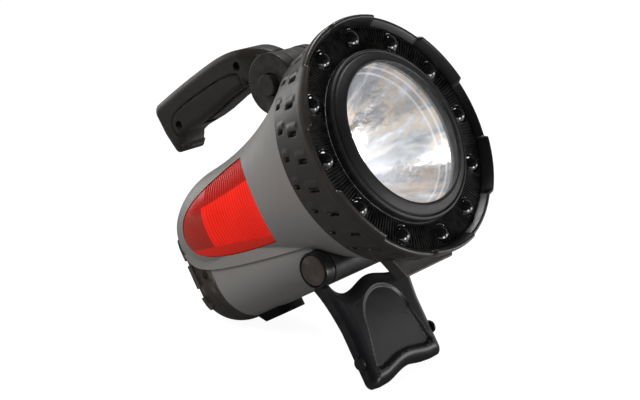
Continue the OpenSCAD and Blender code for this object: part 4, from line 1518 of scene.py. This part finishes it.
@dataclass
class Stand:
    """Prop with a soft-edged face, a shallow recess, a hollow back and an eye at each end of its hinge."""

    hinge: Pair = (-LAMP.stand_back, -LAMP.stand_drop)
    half: float = 39.0
    length: float = LAMP.stand_len
    face: float = 3.0
    plate_back: float = -1.6
    back: float = -LAMP.stand_deep
    foot_rise: float = 2.0
    wall: float = 3.6
    foot_wall: float = 9.0
    soft_width: float = 8.5
    soft_depth: float = 4.0
    arm_in: float = 38.1
    arm_out: float = 47.1
    eye_r: float = 12.8
    cap_r: float = 10.6
    bore_r: float = 4.05
    step: float = 0.9

    def foot_wave(self, ends: Sequence[float], foot_x: float, low: float) -> list[Pair]:
        """Lower edge with a hollow middle, at given distances from the middle."""
        return [(x, self.foot_rise * (1 + math.cos(math.pi * x / foot_x)) + low) for x in ends]

    def outline(self) -> list[Pair]:
        """Front outline about the hinge: hump, crooks, arms, foot corners and hollow foot.

        Returns:
            Its points, across the lamp and up from the hinge.
        """
        dip_x, hump_mid, hump_rise, corner = 26.0, 19.6, 2.6, 6.0
        foot_x = self.half - 2 * corner
        hump = [(x, hump_rise * math.cos(math.pi * x / dip_x) - hump_mid)
                for x in np.linspace(0, dip_x, 16)]
        crook_r = self.arm_in - dip_x
        crook = arc((dip_x, crook_r - hump_mid - hump_rise), crook_r, 270, 360, 16)[1:]
        shoulder, waist = (self.arm_out - 0.3, -12.4), (self.half, -47.0)
        tongue = self.arm_out - 2.2
        arm = [(self.arm_in, 0.0), (tongue, 0.0), (tongue, -11.4), shoulder,
               *bezier(shoulder, (41.5, -24.0), waist), waist]
        foot = arc((self.half - corner, corner - self.length), corner, 0, -90, 12)
        hollow = self.foot_wave(np.linspace(foot_x, 0, 16)[1:], foot_x, -self.length)
        right = [*hump, *crook, *arm, *foot, *hollow]
        return [*right, *[(-x, z) for x, z in right[-2:0:-1]]]

    def recess(self) -> list[Pair]:
        """Outline of the recess: a round top and a lower edge like the foot's.

        Returns:
            Its points, across the lamp and up from the hinge.
        """
        half, low, corner = self.half - 9.0, 11.0 - self.length, 3.0
        foot_x = half - corner
        hollow = self.foot_wave(np.linspace(foot_x, -foot_x, 32)[1:-1], foot_x, low)
        top = arc((0.0, 40.5 - self.length), 23.0, 180, 0)
        right = arc((foot_x, low + corner), corner, 0, -90, 8)
        left = arc((-foot_x, low + corner), corner, 270, 180, 8)
        return [*top, *right, *hollow, *left]

    def plate(self) -> Object:
        """The face with its arms.

        Returns:
            The new object.
        """
        outline = self.outline()
        flat, faces, rim = cut_grid(outline, (self.step, self.step))
        x, z = flat[:, 0], flat[:, 1]
        edge = line_distance(flat, [*outline, outline[0]])
        hollow = ramp(depth_inside(flat, self.recess()), -0.8, 0.9)
        depth = 1.2 + 1.4 * ramp(-z, 30.0, 80.0)
        front = self.face - soft_drop(edge, self.soft_width, self.soft_depth) - depth * hollow
        pocket = (np.abs(x) < self.half - self.wall) & (z > self.foot_wall - self.length)
        back = np.where(pocket, self.plate_back, self.back)
        sheets = [np.column_stack([x, self.hinge[0] + y, self.hinge[1] + z]) for y in (front, back)]
        return slab("stand_face", *sheets, faces, rim, sharp=50.0)

    def eye(self, side: Side) -> Object:
        """One eye, with a shallow seat for its cap.

        Args:
            side: Side of the lamp.

        Returns:
            The new object.
        """
        r, inner, outer, seat = self.eye_r, self.arm_in, self.arm_out, self.arm_out - 2.0
        return turned("stand_eye", self.hinge, [
            (self.bore_r, inner), (r - 0.5, inner), (r, inner + 0.5), (r, outer - 1.0),
            (r - 0.3, outer - 0.3), (r - 0.9, outer), (r - 1.4, outer - 0.2), (r - 1.4, seat),
            (self.bore_r, seat)], side)

    def cap(self, side: Side) -> Object:
        """One cap, with a dark gap round it.

        Args:
            side: Side of the lamp.

        Returns:
            The new object.
        """
        r, seat, top = self.cap_r, self.arm_out - 1.95, self.arm_out + 0.3
        return turned("stand_cap", self.hinge, [
            (0.05, seat), (r, seat), (r, top - 0.5), (r - 0.5, top), (0.05, top + 0.2)], side)

    def build(self, black: Material, brown: Material) -> None:
        """Makes the stand and its caps.

        Args:
            black: Finish of the stand.
            brown: Finish of the caps.
        """
        plate = self.plate()
        join(plate, self.eye(Side.RIGHT), self.eye(Side.LEFT))
        adopt(plate, Body.STAND, "stand_black", black, "stand")
        caps = self.cap(Side.RIGHT)
        join(caps, self.cap(Side.LEFT))
        adopt(caps, Body.STAND, "caps_brown", brown, "stand_caps")


@dataclass
class Handle:
    """Handle in two moulded halves, each with a soft-edged grip panel let into it."""

    hinge: Pair = (-75.0, 71.0)
    half: float = 14.5
    taper: float = 5.0
    taper_ends: Pair = (-26.0, 0.0)
    soft_top: Pair = (7.0, 3.6)
    soft_low: Pair = (4.5, 2.6)
    soft_panel: Pair = (1.6, 0.7)
    crest: float = 40.9
    fall: float = 3.0
    length: float = 135.0
    end_round: float = LAMP.handle_round
    nose: float = -35.0
    heel: float = -109.0
    rise: float = 36.5
    cheek_r: float = 22.6
    neck_half: float = 11.0
    neck_r: float = 21.5
    bore_r: float = 5.06
    panel_deep: float = 1.3
    hole_r: float = 2.9
    hole_floor: float = 9.0
    slot_half: float = 7.3
    slot_top: float = 25.0
    slot_rear: float = -99.0
    screws: tuple[Pair, Pair] = ((-29.7, 26.4), (-112.0, 15.0))
    step: float = 0.8

    def along(self, share: float) -> float:
        """Place along the grip, from its nose to its heel."""
        return self.nose + share * (self.heel - self.nose)

    def top_line(self) -> list[Pair]:
        """Upper and rear edge, from the cheeks to the hook.

        Returns:
            Its points, along the beam and up from the hinge.
        """
        tip, crest = (-1.0, self.cheek_r + 1.2), (self.along(0.3), self.crest)
        end = (self.end_round - self.length, self.crest - self.fall)
        corner = arc((end[0], end[1] - self.end_round), self.end_round, 90, 180, 12)
        return [tip, *bezier(tip, (-20.0, self.crest), crest), crest,
                *bezier(crest, (self.along(0.77), self.crest), end), *corner, (1 - self.length, 15.0)]

    def hook_line(self) -> list[Pair]:
        """Rear and underside of the hook."""
        return arc((9.5 - self.length, 2.3), 5.5, 195, 320, 12)

    def low_line(self) -> list[Pair]:
        """Heel and finger side, back to the cheeks.

        Returns:
            Its points, along the beam and up from the hinge.
        """
        heel, nose = self.heel, self.nose
        return [(heel - 11.8, 2.1), (heel - 9.6, 4.6), (heel - 5.6, 7.1), (heel + 1, 8.0),
                (self.along(0.74), 7.4), (self.along(0.49), 8.6), (self.along(0.23), 10.8), (nose, 11.4),
                *arc((nose + 3, 14.4), 3.0, 270, 340, 6), (-25.0, 11.0), (-20.8, 8.9)]

    def panel_outline(self, gap: float, below: float) -> list[Pair]:
        """Outline of the grip panel, shrunk by a gap, with its lower edge moved down.

        Args:
            gap: How far its top, front and rear are moved in.
            below: How far its lower edge is moved down.

        Returns:
            Its points, along the beam and up from the hinge.
        """
        top, low, heel, nose = self.rise - gap, -below, self.heel, self.nose
        return rounded([
            (2 - gap + nose, top - 13), (self.along(0.22), top - 10.3), (self.along(0.5), top - 9.8),
            (self.along(0.8), top - 10.1), (heel - 1, top - 11.5), (heel - 9 + gap, top - 15),
            (heel - 12 + gap, 16.5), (heel - 11.4 + gap, 11.0), (heel - 8 + gap, 6.5 + low),
            (heel - 2, 8.6 + low), (self.along(0.74), 7.9 + low), (self.along(0.49), 9.1 + low),
            (self.along(0.23), 11.3 + low), (nose, 12.2 + low), (nose + 3.5 - gap, 17.0)])

    def skin(self, flat: np.ndarray) -> np.ndarray:
        """Half width of the handle at flat points, with its soft edges.

        Args:
            flat: Flat points about the hinge.

        Returns:
            The half width at each point.
        """
        upper = soft_drop(line_distance(flat, [*self.top_line(), *self.hook_line()]), *self.soft_top)
        lower = soft_drop(line_distance(flat, self.low_line()), *self.soft_low)
        taper = self.taper * ramp(flat[:, 0], *self.taper_ends)
        return self.half - taper - np.maximum(upper, lower)

    def at_screw(self, flat: np.ndarray, screw: Pair) -> np.ndarray:
        """Whether flat points lie in a screw's hole."""
        return np.hypot(flat[:, 0] - screw[0], flat[:, 1] - screw[1]) < self.hole_r

    def close(self, name: str, grid: Grid, reaches: Sequence[np.ndarray], side: Side,
              sharp: float = 50.0) -> Object:
        """Closes a grid into a solid.

        Args:
            name: Name of the piece.
            grid: Flat points about the hinge, with their faces and rim.
            reaches: Distances of the outer and the inner sheet from the lamp's middle.
            side: Side of the lamp.
            sharp: Edges that turn by more degrees than this stay sharp.

        Returns:
            The new object.
        """
        flat, faces, rim = grid
        places = self.hinge + flat
        outer, inner = (np.column_stack([side * reach, places]) for reach in reaches)
        return slab(name, outer, inner, faces, rim, sharp)

    def shell(self, side: Side) -> Object:
        """One half of the handle with the seat of its panel and the slot of the trigger.

        Args:
            side: Side of the lamp.

        Returns:
            The new object.
        """
        outline = [*self.top_line(), *self.hook_line(), *self.low_line(),
                   *arc((0.0, 0.0), self.cheek_r, 156.0, 91.5, 16)]
        grid = cut_grid(outline, (self.step, self.step))
        flat = grid[0]
        y, z = flat[:, 0], flat[:, 1]
        seat = ramp(depth_inside(flat, self.panel_outline(0.0, 4.0)), -0.4, 0.4)
        outer = self.skin(flat) - self.panel_deep * seat
        if side is Side.RIGHT:
            for screw in self.screws:
                outer = np.where(self.at_screw(flat, screw), np.minimum(outer, self.hole_floor), outer)
        slot = (y > self.slot_rear) & (y < self.nose + 1) & (z < self.slot_top)
        return self.close("handle_shell", grid, (outer, np.where(slot, self.slot_half, 0.0)), side)

    def neck(self, side: Side) -> list[Object]:
        """One half of the knuckle between the cheeks and of the neck that joins it to the grip.

        Args:
            side: Side of the lamp.

        Returns:
            The new objects, the knuckle first.
        """
        r, half = self.neck_r, self.neck_half
        knuckle = turned("handle_knuckle", self.hinge, [
            (self.bore_r, 0.0), (r, 0.0), (r, half - 0.6), (r - 0.6, half), (self.bore_r, half)], side)
        outline = [(-8.0, 25.0), (-4.0, 20.0), (-4.0, 12.0), (-12.0, 7.0), (-28.0, 15.0), (-28.0, 33.0)]
        grid = cut_grid(outline, (8.0, 8.0))
        reach = np.full(len(grid[0]), half)
        return [knuckle, self.close("handle_neck", grid, (reach, reach * 0.0), side, 30.0)]

    def panel(self, side: Side) -> Object:
        """One grip panel.

        Args:
            side: Side of the lamp.

        Returns:
            The new object.
        """
        outline = self.panel_outline(0.8, 0.0)
        grid = cut_grid(outline, (self.step, self.step))
        flat = grid[0]
        edge = line_distance(flat, [*outline, outline[0]])
        skin = self.skin(flat)
        outer = skin - soft_drop(edge, *self.soft_panel)
        if side is Side.RIGHT:
            outer = np.where(self.at_screw(flat, self.screws[1]), self.hole_floor + 0.2, outer)
        inner = np.minimum(skin - self.panel_deep, outer - 0.2)
        return self.close("grip_panel", grid, (outer, inner), side)

    def build(self, dark: Material, rubber: Material) -> None:
        """Makes both halves and both panels.

        Args:
            dark: Finish of the halves.
            rubber: Finish of the panels.
        """
        for name, side in (("right", Side.RIGHT), ("left", Side.LEFT)):
            shell = self.shell(side)
            join(shell, *self.neck(side))
            adopt(shell, Body.HANDLE, "handle_dark", dark, "handle_" + name)
            adopt(self.panel(side), Body.HANDLE, "grip_rubber", rubber, "grip_" + name)


# Studio


@dataclass(frozen=True)
class SoftLight:
    """A soft square light that faces the lamp.

    Its place is in metres towards the camera's right, top and back, its side in metres, its power in watts.
    """

    name: str
    place: Point
    side: float
    power: float
    tone: str = "#ffffff"
    shine: bool = True


@dataclass(frozen=True)
class Studio:
    """Camera at the photograph's angle, soft lights, a white floor and a white surround."""

    eye: Point = (628.33, 513.14, -69.87)
    right: Point = (-0.65374, 0.63452, -0.41233)
    down: Point = (0.24644, -0.33667, -0.90880)
    ahead: Point = (-0.71547, -0.69573, 0.06372)
    focal: float = 69.38
    sensor: float = 36.0
    clip: Pair = (0.05, 50.0)
    centre: Point = (0.0, -0.01, 0.12)
    lights: tuple[SoftLight, ...] = (
        SoftLight("key", (-0.9, 0.75, 0.7), 0.7, 15.5, "#fffdfb", False),
        SoftLight("fill", (0.9, 0.1, 0.9), 0.9, 5.0, "#f8faff", False),
        SoftLight("top", (0.0, 1.1, -0.1), 0.4, 6.0),
        SoftLight("edge", (-0.9, 0.45, -0.75), 0.5, 1.6),
        SoftLight("sweep", (1.15, -0.05, -0.1), 0.4, 2.8),
        SoftLight("glint", (0.5, -0.17, 0.3), 0.16, 1.0),
    )
    # Strength of the surround for diffuse rays, and for reflections everywhere, behind and on the right
    haze: float = 0.42
    gloom: float = 0.03
    wall: float = 0.25
    side: float = 0.12
    # Cosines between which reflections pass into the wall, the patch on the right and its upper end
    wall_ends: Pair = (0.1, 0.9)
    side_ends: Pair = (0.5, 0.95)
    side_top: Pair = (0.5, 0.2)
    # Floor: half its width in metres, its grey, its roughness, and its glow for camera and diffuse rays
    floor_half: float = 3.0
    floor_grey: float = 0.14
    floor_rough: float = 0.9
    paper: float = 0.94
    bounce: float = 0.22
    # Floor in reflections: distances and glow near and far, then the strip on the right
    far_ends: Pair = (0.6, 1.5)
    far_glow: Pair = (0.02, 0.7)
    strip_ends: Pair = (0.1, 0.4)
    strip: float = 1.0

    def axes(self) -> tuple[Vector, Vector, Vector]:
        """Camera's right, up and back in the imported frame."""
        turn = TO_WORLD.to_3x3().normalized()
        return turn @ Vector(self.right), -(turn @ Vector(self.down)), -(turn @ Vector(self.ahead))

    def camera(self) -> None:
        """Adds the camera."""
        data = bpy.data.cameras.new("photo_camera")
        data.lens, data.sensor_width = self.focal, self.sensor
        data.clip_start, data.clip_end = self.clip
        camera = bpy.data.objects.new("photo_camera", data)
        matrix = Matrix(self.axes()).transposed().to_4x4()
        matrix.translation = TO_WORLD @ Vector(self.eye)
        camera.matrix_world = matrix
        bpy.context.collection.objects.link(camera)
        bpy.context.scene.camera = camera

    def add_light(self, light: SoftLight) -> None:
        """Adds one light.

        Args:
            light: The light to add.
        """
        data = bpy.data.lights.new(light.name, "AREA")
        data.shape, data.size, data.energy = "SQUARE", light.side, light.power
        data.color = linear(light.tone)[:3]
        panel = bpy.data.objects.new(light.name, data)
        steps = [length * axis for length, axis in zip(light.place, self.axes())]
        panel.location = sum(steps, Vector(self.centre))
        aim = Vector(self.centre) - panel.location
        panel.rotation_euler = aim.to_track_quat("-Z", "Y").to_euler()
        panel.visible_glossy = light.shine
        bpy.context.collection.objects.link(panel)

    def surround(self) -> None:
        """White to the camera and through glass; reflections see it pale behind and low on the right."""
        world = bpy.data.worlds.new("surround")
        world.use_nodes = True
        tree = world.node_tree
        path = add_node(tree, "ShaderNodeLightPath").outputs
        way = add_node(tree, "ShaderNodeTexCoord").outputs["Generated"]
        right, up, near = self.axes()
        wall = span(tree, along_axis(tree, way, -near), *self.wall_ends, 0.0, self.wall)
        beside = span(tree, along_axis(tree, way, right), *self.side_ends, 0.0, self.side)
        side = math_node(tree, "MULTIPLY", beside, span(tree, along_axis(tree, way, up), *self.side_top))
        bright = math_node(tree, "ADD", math_node(tree, "ADD", wall, side), self.gloom)
        seen = math_node(tree, "MAXIMUM", path["Is Camera Ray"], path["Is Transmission Ray"])
        glossy = math_node(tree, "MULTIPLY", path["Is Glossy Ray"], bright)
        unseen = math_node(tree, "MULTIPLY_ADD", path["Is Diffuse Ray"], self.haze, glossy)
        strength = math_node(tree, "MAXIMUM", seen, unseen)
        fill(tree.nodes["Background"], {"Color": WHITE, "Strength": strength})
        bpy.context.scene.world = world

    def paint_floor(self) -> Material:
        """White to the camera, with a faint shadow; in reflections dark near the lamp and bright beyond.

        Returns:
            The finished material.
        """
        material, tree, shader = new_material("floor_white")
        path = add_node(tree, "ShaderNodeLightPath").outputs
        place = add_node(tree, "ShaderNodeTexCoord").outputs["Object"]
        reach = vector_node(tree, "LENGTH", {0: place}).outputs["Value"]
        far = span(tree, reach, *self.far_ends, *self.far_glow)
        strip = span(tree, along_axis(tree, place, self.axes()[0]), *self.strip_ends, 0.0, self.strip)
        glossy = math_node(tree, "MULTIPLY", path["Is Glossy Ray"], math_node(tree, "ADD", far, strip))
        unseen = math_node(tree, "MULTIPLY_ADD", path["Is Diffuse Ray"], self.bounce, glossy)
        glow = math_node(tree, "MULTIPLY_ADD", path["Is Camera Ray"], self.paper, unseen)
        grey = self.floor_grey
        fill(shader, {
            "Base Color": (grey, grey, grey, 1.0), "Roughness": self.floor_rough,
            "Specular IOR Level": 0.0, "Emission Color": WHITE, "Emission Strength": glow})
        return material

    def floor(self) -> None:
        """Adds the floor."""
        half = self.floor_half
        mesh = bpy.data.meshes.new("floor")
        corners = [(-half, -half, 0), (half, -half, 0), (half, half, 0), (-half, half, 0)]
        mesh.from_pydata(corners, [], [(0, 1, 2, 3)])
        floor = bpy.data.objects.new("floor", mesh)
        bpy.context.collection.objects.link(floor)
        mesh.materials.append(self.paint_floor())

    def build(self) -> None:
        """Sets up the camera, lights, floor and surround."""
        self.camera()
        for light in self.lights:
            self.add_light(light)
        self.floor()
        self.surround()
        bpy.context.scene.view_settings.view_transform = "Standard"


# Whole lamp


@dataclass(frozen=True)
class Skin:
    """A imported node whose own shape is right: copied with soft edges and dressed."""

    node: str
    body: Body
    slot: str
    bevel: float
    segments: int = 2


SKINS = (
    Skin("upper_shell", Body.LAMP, "shell_grey", 0.45),
    Skin("lower_shell", Body.LAMP, "shell_grey", 0.4),
    Skin("rear_cover", Body.LAMP, "cover_dark", 0.4),
    Skin("foot_pad", Body.LAMP, "pad_rubber", 1.2, 3),
    Skin("saddle", Body.LAMP, "hinge_dark", 1.1, 3),
    Skin("lock_button", Body.LOCK, "hinge_dark", 0.9, 3),
    Skin("trigger", Body.TRIGGER, "grip_rubber", 1.0, 3),
    Skin("stand_bumps", Body.STAND, "stand_black", 1.2, 3),
    Skin("stand_barrel", Body.LAMP, "hinge_dark", 0.4),
    Skin("rear_button", Body.BUTTON, "button_red", 0.6, 3),
    Skin("socket_plug", Body.PLUG, "cover_dark", 0.3),
)


def finishes() -> list[Finish]:
    """All finishes, named as the record's slots.

    Returns:
        The finishes.
    """
    return [
        BezelRubber("bezel_rubber", "#221e1b", "#2b2622", 0.36, grain=0.03, grain_scale=900.0, wear=0.1,
                    dust=0.01, shine=0.6),
        Moulded("ring_black", "#060607", "#0c0c0d", 0.36, wear=0.05, dust=0.0),
        Moulded("stud_gloss", "#08080a", "#0e0e11", 0.08, wear=0.0, dust=0.0, grain=0.0, smear=0.02,
                coat=0.6),
        Moulded("retainer_black", "#0d0d0e", "#131314", 0.5, wear=0.08, dust=0.01),
        Clear("lens_clear"),
        Moulded("gasket_rubber", "#b4b5b7", "#bcbdbf", 0.5),
        Mirror(),
        Clear("bulb_glass", rough=0.01, glow=0.9),
        Moulded("pin_steel", "#b9babd", "#9fa0a3", 0.25, metal=1.0, grain=0.01),
        Moulded("bulb_ceramic", "#cfc9bb", "#bfb8a8", 0.6),
        Moulded("shell_grey", "#757371", "#7c7a78", 0.46, mottle=0.3, grain=0.025, grain_scale=1800.0,
                wear=0.08, dust=0.02),
        Moulded("cover_dark", "#2b2622", "#332d28", 0.46, dust=0.02),
        Moulded("screw_steel", "#3a3a3b", "#4a4a4b", 0.3, metal=1.0),
        Moulded("pad_rubber", "#020202", "#050505", 0.8, wear=0.0, dust=0.0),
        RedLens(),
        Moulded("tray_white", "#d8d8d4", "#c9c9c5", 0.5),
        Moulded("board_green", "#1f5a35", "#174a2b", 0.4),
        Moulded("battery_case", "#3b3c42", "#44454b", 0.5),
        Moulded("tab_brass", "#b08d4a", "#9c7c40", 0.3, metal=1.0),
        Moulded("pad_foam", "#1a1a1a", "#242424", 0.9, grain=0.2, grain_scale=700.0),
        Moulded("lead_red", "#b5221c", "#9c1d18", 0.5),
        Moulded("lead_black", "#151515", "#1d1d1d", 0.5),
        Moulded("button_red", "#b3241d", "#9f1f19", 0.4),
        Moulded("switch_black", "#141414", "#1c1c1c", 0.45),
        Moulded("led_green", "#3fae4a", "#369a40", 0.2, coat=0.4),
        Moulded("hinge_dark", "#121110", "#232120", 0.4, wear=0.2, dust=0.01),
        Moulded("handle_dark", "#191613", "#29251f", 0.44, wear=0.15, dust=0.01),
        Moulded("grip_rubber", "#1a1714", "#27231f", 0.5, grain=0.03, grain_scale=1100.0, wear=0.1,
                dust=0.01),
        Moulded("stand_black", "#0c0c0f", "#19191d", 0.3, mottle=0.2, wear=0.05, dust=0.0, grain=0.012,
                smear=0.03),
        Moulded("caps_brown", "#2e2724", "#3c3430", 0.5, wear=0.1, dust=0.01),
    ]


def dress_nodes(materials: dict[str, Material]) -> None:
    """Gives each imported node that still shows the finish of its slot.

    Args:
        materials: Finishes by slot name.
    """
    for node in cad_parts.values():
        for place in node.material_slots:
            name = place.material.name.split(".")[0] if place.material else ""
            if name in materials:
                place.material = materials[name]


def main() -> None:
    """Builds the lamp's looks and the studio."""
    logging.basicConfig(level=logging.INFO, format="%(message)s")
    Studio().build()
    effects, copies = Effects(), RingOfCopies()
    for old in list(bpy.data.materials):
        old.name = old.name + ".packed"
    materials = {finish.name: finish.material(effects) for finish in finishes()}
    dress_nodes(materials)
    Bezel().build(materials["bezel_rubber"])
    FrontRing().build(copies, materials["ring_black"], materials["stud_gloss"])
    Optics().build(materials["retainer_black"], materials["lens_clear"], materials["reflector_silver"])
    SideLens().build("side_lens_right", Side.RIGHT, materials["side_lens_red"])
    SideLens().build("side_lens_left", Side.LEFT, materials["side_lens_red"])
    Stand().build(materials["stand_black"], materials["caps_brown"])
    Handle().build(materials["handle_dark"], materials["grip_rubber"])
    for skin in SKINS:
        piece = cad_copy(skin.node, skin.bevel, skin.segments)
        adopt(piece, skin.body, skin.slot, materials[skin.slot], skin.node)


if __name__ == "__main__":
    main()
